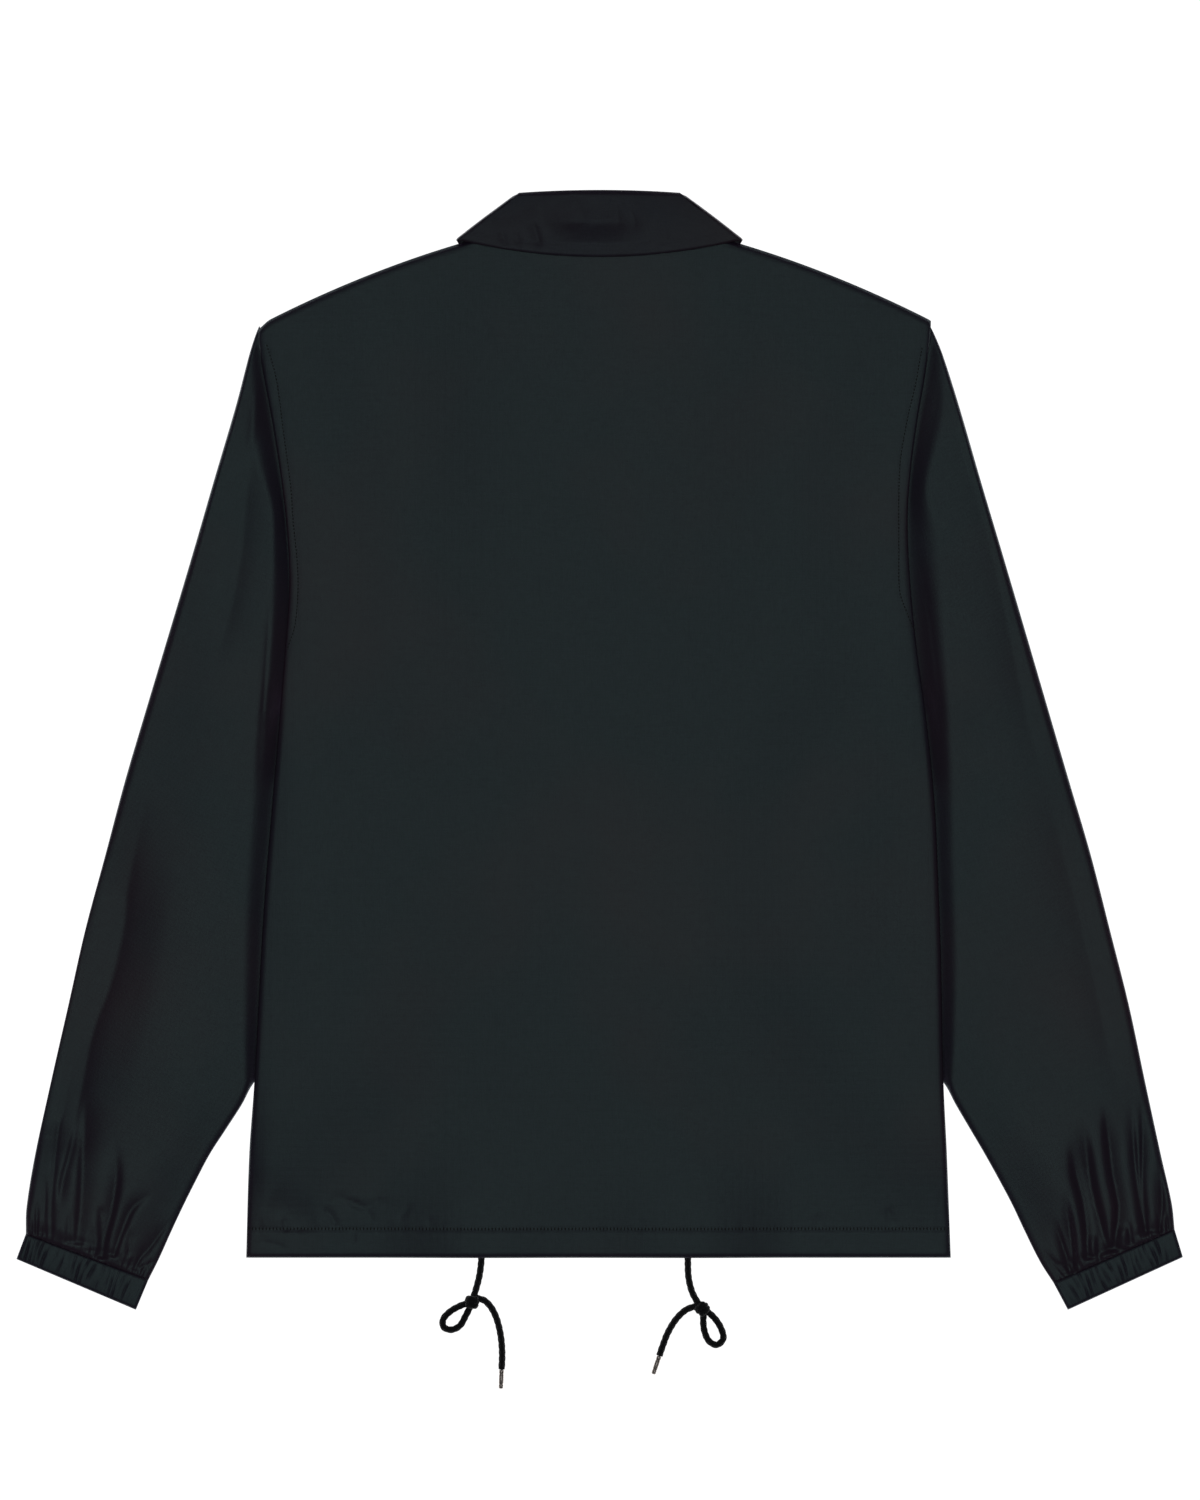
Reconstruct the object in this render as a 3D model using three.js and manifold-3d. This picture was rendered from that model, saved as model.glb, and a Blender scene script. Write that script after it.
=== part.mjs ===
// A lightweight snap-front jacket, laid face down and seen from its back, with its sleeves brought
// down beside the body, gathered elastic cuffs, a turned-down collar and a drawcord in the hem.
// Millimetres, +Z up. X runs across the back, +Y from the hem to the collar. The cloth lies on z = 0,
// and the origin is under the middle of the jacket. Left is the wearer's left, at -X.
import * as THREE from "three";
import { mergeVertices } from "three/addons/utils/BufferGeometryUtils.js";
import Module from "manifold-3d";

const wasm = await Module();
wasm.setup();
const { clamp, lerp, smoothstep, degToRad } = THREE.MathUtils;

// Driving dimensions
const CLOTH = 1.2; // wall that stands for one layer of cloth
const LAY = 0.5; // air between two layers that lie on each other
const SEAM = 0.3; // gap between two pieces that are sewn together
const LAYER = CLOTH + LAY;
const SLEEVE_FLAT = 3; // a sleeve pressed flat, both of its layers
const HEAD_BASE = 1.6; // the sleeve head's height over the front panel that it lies on
const HEAD_TOP = 1.4; // what that adds to the height of its upper layer

const HEM_Y = -349.5;
const HEM_DEPTH = 20; // turned up and stitched down
const SHOULDER = { x: 231.5, y: 296 }; // outer end of the shoulder seam
const NECK_POINT = { x: 82.5, y: 354.6 }; // inner end of the shoulder seam
const SHOULDER_BOW = 4.5; // the shoulder seam's rise over a straight line
const BACK_NECK_DROP = 5.8;
const FRONT_NECK_DROP = 81;
const UNDERARM_Y = 66;
const UNDERARM_TRIM = 6.5; // the fronts are cut back by this much where the sleeve passes their edge
const PLACKET = 15; // each front passes the centre line by this much

const ROLL = { x: 57.6, y: 383.3, middle: 385.4 }; // the collar's fold, half its width and its height
const COLLAR_CORNER = { x: 98.6, y: 351.8 }; // where the collar turns over the shoulder
const COLLAR_BACK_EDGE = 341.2;
const COLLAR_POINT = { x: 43.1, y: 241.2 };
const COLLAR_FRONT = { x: 4.1, y: 301.2 }; // the fold's end at the centre front
const COLLAR_TOP = 7.6; // mid height of the back of the collar
const COLLAR_LOW = 0.6; // mid height of its leaves, under the fronts

const SNAPS = { count: 6, top: 236, pitch: 110, cap: 7, stud: 6 };
const CORD = { radius: 2.1, sides: 8 };
const EYELET = { inner: 2.9, outer: 5, thick: 0.5, fromHem: 9 };
const KNOT = { across: 6, along: 6.8, high: 4.1 };
const AGLET = { radius: 1.6, length: 13 };

// Half the width of the body at each height, along its side seam and its armhole.
const SIDE = [
  { y: -349.5, half: 243.2 },
  { y: -295.7, half: 241.5 },
  { y: -226.7, half: 237.5 },
  { y: -157.7, half: 235.3 },
  { y: -88.7, half: 232.6 },
  { y: -19.7, half: 227.7 },
  { y: 49.3, half: 219.8 },
  { y: 83.8, half: 216.2 },
  { y: 118.3, half: 214.3 },
  { y: 152.8, half: 214.6 },
  { y: 187.3, half: 217.8 },
  { y: 221.8, half: 223.2 },
  { y: 256.3, half: 228.8 },
  { y: 283.9, half: 232 },
  { y: 296, half: 231.5 },
];

// The two folded edges of a sleeve from the armhole to the cuff. The inner one runs under the body.
const SLEEVE_INNER = [
  { x: 214, y: 66 },
  { x: 216, y: 44 },
  { x: 217.5, y: 24 },
  { x: 193, y: -6 },
  { x: 172, y: -34 },
  { x: 159, y: -62 },
  { x: 156, y: -93 },
  { x: 163, y: -126 },
  { x: 179, y: -160 },
  { x: 205, y: -195 },
  { x: 237.5, y: -228 },
  { x: 267.4, y: -278.4 },
  { x: 285.3, y: -312.9 },
  { x: 301.9, y: -347.4 },
  { x: 310.8, y: -365.4 },
];
const SLEEVE_OUTER = [
  { x: 231, y: 291.5 },
  { x: 240.6, y: 277 },
  { x: 249.4, y: 239.1 },
  { x: 264.6, y: 187.3 },
  { x: 295, y: 83.8 },
  { x: 325.7, y: -19.7 },
  { x: 353.6, y: -123.2 },
  { x: 377.5, y: -226.7 },
  { x: 388.5, y: -278.4 },
  { x: 397, y: -332.9 },
];
const CUFF_END = { inner: { x: 321.9, y: -385.4 }, outer: { x: 402.7, y: -350.2 } };

// The gathers over each cuff: where each trough meets the cuff (0 at the inner edge, 1 at the outer),
// where it ends higher up, how far up it reaches, how deep it is and how wide.
const GATHERS_LEFT = [
  { at: 0.12, ends: 0.02, reach: 34, deep: 1.6, wide: 0.05 },
  { at: 0.22, ends: 0.16, reach: 26, deep: 1.8, wide: 0.04 },
  { at: 0.33, ends: 0.27, reach: 44, deep: 2.4, wide: 0.05 },
  { at: 0.44, ends: 0.4, reach: 92, deep: 2.6, wide: 0.05 },
  { at: 0.53, ends: 0.5, reach: 30, deep: 1.6, wide: 0.04 },
  { at: 0.65, ends: 0.66, reach: 104, deep: 3, wide: 0.06 },
  { at: 0.77, ends: 0.8, reach: 120, deep: 2, wide: 0.05 },
  { at: 0.87, ends: 0.88, reach: 80, deep: 1.8, wide: 0.04 },
];
const GATHERS_RIGHT = [
  { at: 0.13, ends: 0.04, reach: 30, deep: 1.8, wide: 0.05 },
  { at: 0.22, ends: 0.16, reach: 52, deep: 2, wide: 0.05 },
  { at: 0.33, ends: 0.33, reach: 92, deep: 2.8, wide: 0.05 },
  { at: 0.45, ends: 0.46, reach: 100, deep: 3, wide: 0.05 },
  { at: 0.56, ends: 0.62, reach: 112, deep: 3, wide: 0.06 },
  { at: 0.69, ends: 0.77, reach: 112, deep: 2.8, wide: 0.05 },
  { at: 0.8, ends: 0.85, reach: 104, deep: 2.2, wide: 0.05 },
  { at: 0.9, ends: 0.93, reach: 50, deep: 1.8, wide: 0.04 },
];

// The drawcord's two free ends, as they lie on the floor: the lead out of the hem, the loop of the
// slip knot, and the tail with its metal tip.
const CORD_LEFT = {
  eyelet: -81.6,
  knot: [-88, -379.8],
  lead: [[-81.6, -352], [-83, -362.4], [-86, -373.6], [-88, -378.6]],
  loop: [
    [-90.4, -380.6], [-95.6, -382.4], [-102.8, -386.4], [-107.8, -391.8], [-107.6, -397.2],
    [-102.4, -399.2], [-96.4, -396.4], [-92.4, -389.6], [-88.8, -382.4],
  ],
  tail: [
    [-86.4, -377.4], [-83, -377.8], [-78.8, -379.4], [-74, -385], [-70.4, -393.4], [-68, -404.6],
    [-67.2, -416], [-67.6, -427],
  ],
};
const CORD_RIGHT = {
  eyelet: 61,
  knot: [70.8, -384.4],
  lead: [[61, -352], [61.4, -362.4], [63.6, -372.2], [67.2, -379.4], [70, -383]],
  loop: [
    [71.8, -387], [71.6, -392.8], [72.4, -400], [75.6, -407], [81, -409.6], [85.4, -405.4],
    [84, -398.4], [79.6, -391.4], [73.6, -386],
  ],
  tail: [
    [68, -383], [64.8, -383.4], [59.2, -385.8], [52.8, -392], [47.2, -401.2], [43.6, -410.4],
    [41.2, -417.6],
  ],
};

// The value of a table's column at any height, on a smooth curve through its rows.
function read(table, across, column, at) {
  const last = table.length - 1;
  let i = 0;
  while (i < last - 1 && at > table[i + 1][across]) i++;
  const slope = (k) => {
    const before = table[Math.max(k - 1, 0)];
    const after = table[Math.min(k + 1, last)];
    return (after[column] - before[column]) / (after[across] - before[across]);
  };
  const run = table[i + 1][across] - table[i][across];
  const f = clamp((at - table[i][across]) / run, 0, 1);
  const blend = 3 * f ** 2 - 2 * f ** 3;
  const between = lerp(table[i][column], table[i + 1][column], blend);
  return between + run * ((f ** 3 - 2 * f ** 2 + f) * slope(i) + (f ** 3 - f ** 2) * slope(i + 1));
}

const halfWidth = (y) => read(SIDE, "y", "half", y);

// How far the fronts are cut back at each height, on top of their seam gap.
const trimAt = (y) =>
  UNDERARM_TRIM * smoothstep(y, 6, 22) * (1 - smoothstep(y, UNDERARM_Y, UNDERARM_Y + 22));

// The height of the body's top edge: shoulder seam, neckline, shoulder seam.
function topEdge(x) {
  const a = Math.abs(x);
  if (a < NECK_POINT.x) return NECK_POINT.y - BACK_NECK_DROP * (1 - (a / NECK_POINT.x) ** 2);
  const f = clamp((a - NECK_POINT.x) / (SHOULDER.x - NECK_POINT.x), 0, 1);
  return lerp(NECK_POINT.y, SHOULDER.y, f) + SHOULDER_BOW * 4 * f * (1 - f);
}

// How far a point of the plan lies outside a closed outline: 0 inside it.
function outside(outline, x, y) {
  let within = false;
  let nearest = Infinity;
  outline.forEach((a, i) => {
    const b = outline[(i + 1) % outline.length];
    const [dx, dy] = [b.x - a.x, b.y - a.y];
    const t = clamp(((x - a.x) * dx + (y - a.y) * dy) / (dx * dx + dy * dy), 0, 1);
    nearest = Math.min(nearest, Math.hypot(x - a.x - t * dx, y - a.y - t * dy));
    if (a.y > y !== b.y > y && x < a.x + (dx * (y - a.y)) / dy) within = !within;
  });
  return within ? 0 : nearest;
}

// 1 over an outline and for a margin round it, then falling to 0 over the run.
const over = (outline, x, y, margin, run) =>
  1 - smoothstep(outside(outline, Math.abs(x), y), margin, margin + run);

// What the body lies on: a collar leaf, and the part of the sleeve that is tucked under it.
const LEAF = [ROLL, COLLAR_CORNER, COLLAR_POINT, COLLAR_FRONT];
const TUCKED = [
  ...SLEEVE_INNER.slice(2, 11),
  { x: 250, y: -226 },
  { x: 250, y: 24 },
];
// What the back also lies on: the strip of the sleeve head between the two panels.
const HEAD = [62, 100, 130, 160, 190, 230, 285].flatMap((y) => [{ x: halfWidth(y) - 8, y }])
  .concat([285, 62].map((y) => ({ x: 240, y })));

// Underside of the front panels.
function frontUnder(x, y) {
  const armholeFree = 1 - smoothstep(y, 28, UNDERARM_Y - 8);
  const leaf = LAYER * over(LEAF, x, y, 14, 24);
  const sleeve = (SLEEVE_FLAT + LAY) * over(TUCKED, x, y, 16, 40) * armholeFree;
  return Math.max(leaf, sleeve);
}

// Underside of the right front, which passes over the left one at the placket.
const rightFrontUnder = (x, y) => frontUnder(x, y) + LAYER * (1 - smoothstep(x, 20, 46));

// Underside of the back. It rides over all the rest in slow slopes, and over the cords at the hem.
function backUnder(x, y) {
  const leaf = LAYER * over(LEAF, x, y, 18, 90);
  const placket = LAYER * (1 - smoothstep(Math.abs(x), 24, 130));
  const tucked = (SLEEVE_FLAT + LAY) * over(TUCKED, x, y, 18, 90);
  const head = (HEAD_BASE + HEAD_TOP + 0.35) * over(HEAD, x, y, 6, 80);
  const cord = [CORD_LEFT.eyelet, CORD_RIGHT.eyelet].map((at) => {
    const [across, along] = [Math.abs(x - at), y - HEM_Y];
    return (1 - smoothstep(across, 4, 34)) * (1 - smoothstep(along, 16, 60));
  });
  const flat = LAYER + leaf + placket + Math.max(tucked, head);
  const tent = EYELET.thick + 2 * SEAM + 2 * CORD.radius + CLOTH + 0.4;
  return flat + Math.max(0, tent - flat) * Math.max(...cord);
}

// A solid between two equal grids of points, closed round its rims. In a tube the rows are loops.
function wallBetween(outer, inner, tube = false) {
  const [rows, columns] = [outer.length, outer[0].length];
  const points = [...outer.flat(), ...inner.flat()];
  const at = (side, i, j) => side * rows * columns + i * columns + (j % columns);
  const index = [];
  const quad = (a, b, c, d) => index.push(a, b, c, a, c, d);
  const cells = tube ? columns : columns - 1;
  for (let j = 0; j < cells; j++) {
    for (let i = 0; i < rows - 1; i++) {
      quad(at(0, i, j), at(0, i, j + 1), at(0, i + 1, j + 1), at(0, i + 1, j));
      quad(at(1, i, j), at(1, i + 1, j), at(1, i + 1, j + 1), at(1, i, j + 1));
    }
    quad(at(0, 0, j), at(1, 0, j), at(1, 0, j + 1), at(0, 0, j + 1));
    quad(at(0, rows - 1, j), at(0, rows - 1, j + 1), at(1, rows - 1, j + 1), at(1, rows - 1, j));
  }
  for (let i = 0; i < rows - 1 && !tube; i++) {
    const end = columns - 1;
    quad(at(0, i, 0), at(0, i + 1, 0), at(1, i + 1, 0), at(1, i, 0));
    quad(at(0, i, end), at(1, i, end), at(1, i + 1, end), at(0, i + 1, end));
  }
  const geometry = new THREE.BufferGeometry();
  geometry.setAttribute("position", new THREE.Float32BufferAttribute(points.flat(), 3));
  geometry.setIndex(volumeOf(points, index) < 0 ? index.reverse() : index);
  return geometry;
}

function volumeOf(points, index) {
  let six = 0;
  for (let i = 0; i < index.length; i += 3) {
    const [a, b, c] = [0, 1, 2].map((k) => new THREE.Vector3(...points[index[i + k]]));
    six += a.dot(b.cross(c));
  }
  return six / 6;
}

function toSolid(geometry) {
  const plain = geometry.clone();
  plain.deleteAttribute("normal");
  plain.deleteAttribute("uv");
  const merged = mergeVertices(plain, 1e-4);
  return new wasm.Manifold(
    new wasm.Mesh({
      numProp: 3,
      vertProperties: new Float32Array(merged.attributes.position.array),
      triVerts: new Uint32Array(merged.index.array),
    }),
  );
}

function toGeometry(solid) {
  const { vertProperties, triVerts } = solid.getMesh();
  const geometry = new THREE.BufferGeometry();
  geometry.setAttribute("position", new THREE.BufferAttribute(vertProperties, 3));
  return geometry.setIndex(new THREE.BufferAttribute(triVerts, 1));
}

const cut = (geometry, ...tools) =>
  toGeometry(tools.reduce((solid, tool) => solid.subtract(toSolid(tool)), toSolid(geometry)));

// Rows from the hem up, and columns from the placket out: a share of the way, then millimetres.
const EDGE_STEPS = [14, 5];
const ROWS = [
  ...[0, 2.5, HEM_DEPTH - 2, HEM_DEPTH, HEM_DEPTH + 2].map((add) => ({ share: 0, add })),
  ...[0.1, 0.18, 0.26, 0.34, 0.42, 0.5, 0.55].map((share) => ({ share, add: 0 })),
  ...[0.58, 0.597, 0.614, 0.631, 0.648, 0.68].map((share) => ({ share, add: 0 })),
  ...[0.73, 0.78, 0.83, 0.87, 0.91, 0.95].map((share) => ({ share, add: 0 })),
  ...EDGE_STEPS.map((add) => ({ share: 1, add: -add })),
];
const COLUMNS = [
  ...[0, 0.09, 0.19, 0.215, 0.28, 0.31, 0.43, 0.57, 0.7, 0.82].map((share) => ({ share, add: 0 })),
  ...EDGE_STEPS.map((add) => ({ share: 1, add: -add })),
];

// The plan of a point of a panel: side is -1 on the left half and 1 on the right.
function planPoint(side, column, row, trim = () => 0) {
  const atSide = HEM_Y + row.share * (SHOULDER.y - HEM_Y) + row.add;
  const half = halfWidth(atSide) - trim(atSide);
  const x = side * (PLACKET + column.share * (half - PLACKET) + column.add);
  return [x, HEM_Y + row.share * (topEdge(x) - HEM_Y) + row.add];
}

// The back's rim is rolled down round the front's edge: how far in, the drop of its top and underside.
const LIP = [
  { inset: CLOTH + 0.4, top: 0.15, under: 0 },
  { inset: CLOTH, top: 0.3, under: 1 },
  { inset: 0, top: 1, under: 1 },
];
const LIP_DEPTH = { body: 1.2, armhole: 0.35 };

function backPanel() {
  const rows = [...ROWS, ...LIP.map((step) => ({ share: 1, add: -step.inset, step }))];
  const half = [...COLUMNS, ...LIP.map((step) => ({ share: 1, add: -step.inset, step }))];
  const columns = [
    ...half.map((c) => ({ ...c, side: -1 })).reverse(),
    ...half.map((c) => ({ ...c, side: 1 })),
  ];
  const grids = { top: [], under: [] };
  for (const row of rows) {
    const line = { top: [], under: [] };
    for (const column of columns) {
      const [x, y] = planPoint(column.side, column, row);
      const base = backUnder(x, y);
      const casing = row.share === 0 ? hemRise(row.add) : 0;
      const sideLip = lerp(LIP_DEPTH.body, LIP_DEPTH.armhole, smoothstep(y, 8, 38));
      const topLip = LIP_DEPTH.body * smoothstep(Math.abs(x), NECK_POINT.x, NECK_POINT.x + 16);
      const drop = (part) =>
        Math.max((column.step?.[part] ?? 0) * sideLip, (row.step?.[part] ?? 0) * topLip);
      line.top.push([x, y, base + CLOTH + casing - drop("top")]);
      line.under.push([x, y, base - drop("under")]);
    }
    grids.top.push(line.top);
    grids.under.push(line.under);
  }
  return wallBetween(grids.top, grids.under);
}

// The turned-up hem stands a little proud, with a groove where it is stitched down.
function hemRise(fromEdge) {
  if (fromEdge === HEM_DEPTH) return -0.25;
  return fromEdge < HEM_DEPTH ? 0.6 : 0;
}

// A front panel from its side seam to past the centre, with the neckline cut out of it.
function frontPanel(side, under) {
  const inset = CLOTH + 0.4 + SEAM;
  const rows = [...ROWS, { share: 1, add: -inset }];
  const half = [...COLUMNS, { share: 1, add: -inset }];
  const columns = [{ share: 0, add: 0, side: -side }, ...half.map((c) => ({ ...c, side }))];
  const grid = (lift) =>
    rows.map((row) =>
      columns.map((column) => {
        const [x, y] = planPoint(column.side, column, row, trimAt);
        return [x, y, under(x, y) + lift];
      }),
    );
  return cut(wallBetween(grid(CLOTH), grid(0)), neckCutter());
}

// The neck opening of the fronts, as an upright block.
function neckCutter() {
  const outline = new THREE.Shape();
  outline.moveTo(NECK_POINT.x, 400);
  outline.lineTo(-NECK_POINT.x, 400);
  outline.lineTo(-NECK_POINT.x, NECK_POINT.y);
  outline.absellipse(0, NECK_POINT.y, NECK_POINT.x, FRONT_NECK_DROP, Math.PI, 2 * Math.PI, false);
  const block = new THREE.ExtrudeGeometry(outline, { depth: 40, bevelEnabled: false, curveSegments: 20 });
  return block.translate(0, 0, -10);
}

const snapHeights = Array.from({ length: SNAPS.count }, (_, i) => SNAPS.top - i * SNAPS.pitch);
const disc = (radius, y, low, high) =>
  new THREE.CylinderGeometry(radius, radius, high - low, 16)
    .rotateX(Math.PI / 2)
    .translate(0, y, (low + high) / 2);

// The level of a placket at a snap, which takes the highest point of the cloth under its disc.
const capLevel = (y) => frontUnder(0, y);
const studLevel = (y) => rightFrontUnder(0, y);

// The sleeve's rows and the points of one ring, from the inner fold over the top to the outer fold.
const RING_AT = [
  0, 0.012, 0.028, 0.05, 0.08, 0.13, 0.2, 0.29, 0.39, 0.49, 0.59, 0.68, 0.76, 0.83, 0.89, 0.935, 0.97, 1,
];
// The rings fan out from the underarm: the share of the way down each fold at which a ring ends.
const FAN = [
  { inner: 0, outer: 0 },
  { inner: 0.04, outer: 0.2 },
  { inner: 0.085, outer: 0.38 },
  { inner: 0.3, outer: 0.49 },
  { inner: 0.685, outer: 0.77 },
  { inner: 1, outer: 1 },
];
const TOP_POINTS = 21;
const LOW_POINTS = 5;
const HEAD_BOW = 13; // how far the armhole curves in from a straight line

const curveOf = (table) => new THREE.CatmullRomCurve3(table.map((p) => new THREE.Vector3(p.x, p.y, 0)));
const innerFold = curveOf(SLEEVE_INNER);
const outerFold = curveOf(SLEEVE_OUTER);

// Depth of the gathers at a point across the sleeve, some way up from the cuff.
function gatherDepth(gathers, across, up) {
  return gathers.reduce((sum, g) => {
    const fade = 1 - smoothstep(up, 0.35 * g.reach, g.reach);
    const centre = lerp(g.at, g.ends, clamp(up / g.reach, 0, 1));
    return sum + g.deep * fade * Math.exp(-(((across - centre) / g.wide) ** 2));
  }, 0);
}

// One ring of a sleeve as two loops, outer and inner. Across runs from the inner fold to the outer.
function sleeveRing(side, t, gathers) {
  const from = innerFold.getPointAt(t);
  const down = read(FAN, "inner", "outer", t);
  const to = outerFold.getPointAt(down);
  const width = from.distanceTo(to);
  const length = innerFold.getLength();
  const up = (1 - t) * length;
  const bow = HEAD_BOW * (1 - clamp(t / 0.03, 0, 1)) ** 2;
  const place = (across) => {
    const p = from.clone().lerp(to, across);
    return [p.x - bow * 4 * across * (1 - across), p.y];
  };
  // 1 where the sleeve lies over the edge of the front, falling to 0 beside it
  const headAt = ([x, y]) =>
    (1 - smoothstep(x - halfWidth(y) + trimAt(y), 5, 30)) * smoothstep(y, 28, UNDERARM_Y - 8);
  const topAt = (across) => {
    const [x, y] = place(across);
    const clear = smoothstep(x - halfWidth(y), 4, 46) * smoothstep((1 - across) * width, 3, 40);
    const nearCuff = (1 - smoothstep(up, 60, 150)) * smoothstep(across * width, 2, 14);
    const pinch = 1 - 0.55 * (1 - smoothstep(up, 0, 12));
    const puff = Math.max(2.2 * clear, 3.6 * nearCuff * smoothstep((1 - across) * width, 2, 12) * pinch);
    const folded = SLEEVE_FLAT + puff - gatherDepth(gathers, across, up) * Math.min(1, puff / 2.6);
    return Math.max(folded, SLEEVE_FLAT - 0.1) + HEAD_TOP * headAt([x, y]);
  };
  const baseAt = (across) => HEAD_BASE * headAt(place(across));
  const alongRing = to.clone().sub(from).normalize();
  const slant = (fold, at) => Math.max(0.2, alongRing.clone().cross(fold.getTangentAt(at)).length());
  const loop = (skin) => {
    const low = skin / (width * slant(innerFold, t));
    const high = skin / (width * slant(outerFold, down));
    const point = (across, z) => {
      const [x, y] = place(clamp(across, low, 1 - high));
      return [side * x, y, z];
    };
    const points = [];
    for (let i = 0; i < TOP_POINTS; i++) {
      const across = i / (TOP_POINTS - 1);
      const nose = i === 0 || i === TOP_POINTS - 1 ? lerp(0.9, 0.1, skin / CLOTH) : 0;
      points.push(point(across, topAt(across) - skin - nose));
    }
    for (let i = 0; i < LOW_POINTS; i++) {
      const across = 1 - i / (LOW_POINTS - 1);
      const nose = i === 0 || i === LOW_POINTS - 1 ? lerp(0.9, 0.1, skin / CLOTH) : 0;
      points.push(point(across, baseAt(across) + skin + nose));
    }
    return points;
  };
  return { outer: loop(0), inner: loop(CLOTH) };
}

function sleeve(side, gathers) {
  const rings = RING_AT.map((t) => sleeveRing(side, t, gathers));
  return wallBetween(rings.map((r) => r.outer), rings.map((r) => r.inner), true);
}

// An elastic cuff: a flat ring with a rib for every gather of the elastic, raised on its upper side.
const CUFF = { ribs: 22, wall: 1.5, gap: 0.5, rib: 1, rows: [0, 0.12, 0.5, 0.88, 1] };

function cuff(side) {
  const seamInner = SLEEVE_INNER.at(-1);
  const seamOuter = SLEEVE_OUTER.at(-1);
  const mid = (a, b, f) => ({ x: lerp(a.x, b.x, f), y: lerp(a.y, b.y, f) });
  const length = Math.hypot(seamInner.x - CUFF_END.inner.x, seamInner.y - CUFF_END.inner.y);
  const topPoints = 2 * CUFF.ribs + 1;
  const ring = (row, skin) => {
    const f = lerp(SEAM / length, 1, row);
    const from = mid(seamInner, CUFF_END.inner, f);
    const to = mid(seamOuter, CUFF_END.outer, f);
    const inset = skin / Math.hypot(to.x - from.x, to.y - from.y);
    const point = (across, z) => {
      const p = mid(from, to, clamp(across, inset, 1 - inset));
      return [side * p.x, p.y, z];
    };
    const flatTop = 2 * CUFF.wall + CUFF.gap;
    const nose = skin ? 0.06 : 0.6;
    const points = [];
    for (let i = 0; i < topPoints; i++) {
      const edge = i === 0 || i === topPoints - 1;
      const rib = skin === 0 && i % 2 === 1 ? CUFF.rib * Math.sin(Math.PI * lerp(0.15, 0.85, row)) : 0;
      points.push(point(i / (topPoints - 1), flatTop - skin + rib - (edge ? nose : 0)));
    }
    [1, 0.66, 0.33, 0].forEach((across) => {
      const edge = across === 0 || across === 1;
      points.push(point(across, skin + (edge ? nose : 0)));
    });
    return points;
  };
  return wallBetween(
    CUFF.rows.map((row) => ring(row, 0)),
    CUFF.rows.map((row) => ring(row, CUFF.wall)),
    true,
  );
}

// A flat collar piece: ribs run from its fold to its edge, round the back, over the two side folds
// and along the front. Each rib has its two ends in plan, its height and the way its outside faces.
function foldedBand({ backRibs, frontRibs, levels, outline }) {
  const radius = (levels.back - levels.front) / 2;
  const middle = (levels.back + levels.front) / 2;
  const silhouette = outline.side;
  const [alongX, alongY] = [silhouette.edge.x - silhouette.fold.x, silhouette.edge.y - silhouette.fold.y];
  const lengthOf = Math.hypot(alongX, alongY);
  const outward = { x: -alongY / lengthOf, y: alongX / lengthOf };
  const rounding = radius + CLOTH / 2;
  const shifted = (p, by) => ({ x: p.x - outward.x * by, y: p.y - outward.y * by });
  const half = [];
  for (let i = 0; i < backRibs; i++) {
    const f = i / backRibs;
    half.push({ fold: outline.backFold(f), edge: outline.backEdge(f), z: levels.back, face: [0, 0, 1] });
  }
  for (let i = 0; i <= 6; i++) {
    const turn = degToRad(30 * i);
    const by = rounding - radius * Math.sin(turn);
    half.push({
      fold: shifted(silhouette.fold, by),
      edge: shifted(silhouette.edge, by),
      z: middle + radius * Math.cos(turn),
      face: [outward.x * Math.sin(turn), outward.y * Math.sin(turn), Math.cos(turn)],
    });
  }
  for (let i = 1; i <= frontRibs; i++) {
    const f = i / frontRibs;
    half.push({ fold: outline.frontFold(f), edge: outline.frontEdge(f), z: levels.front, face: [0, 0, -1] });
  }
  const mirrored = half
    .slice(1)
    .map((r) => ({
      fold: { x: -r.fold.x, y: r.fold.y },
      edge: { x: -r.edge.x, y: r.edge.y },
      z: r.z,
      face: [-r.face[0], r.face[1], r.face[2]],
    }))
    .reverse();
  const ribs = [...mirrored, ...half];
  const grid = (lift) =>
    ribs.map((rib) =>
      outline.steps.map(({ share, add, curl }) => {
        const span = Math.hypot(rib.edge.x - rib.fold.x, rib.edge.y - rib.fold.y);
        const f = share + add / span;
        const out = lift - curl * (rib.z > levels.front ? 1 : 0.3);
        return [
          lerp(rib.fold.x, rib.edge.x, f) + rib.face[0] * out,
          lerp(rib.fold.y, rib.edge.y, f) + rib.face[1] * out,
          rib.z + rib.face[2] * out,
        ];
      }),
    );
  return wallBetween(grid(CLOTH / 2), grid(-CLOTH / 2));
}

// A point of the front's curve from the side of the neck to the centre front.
const frontArc = (side, drop, f) => ({
  x: side.x * Math.cos((f * Math.PI) / 2),
  y: side.y - drop * Math.sin((f * Math.PI) / 2),
});

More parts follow.
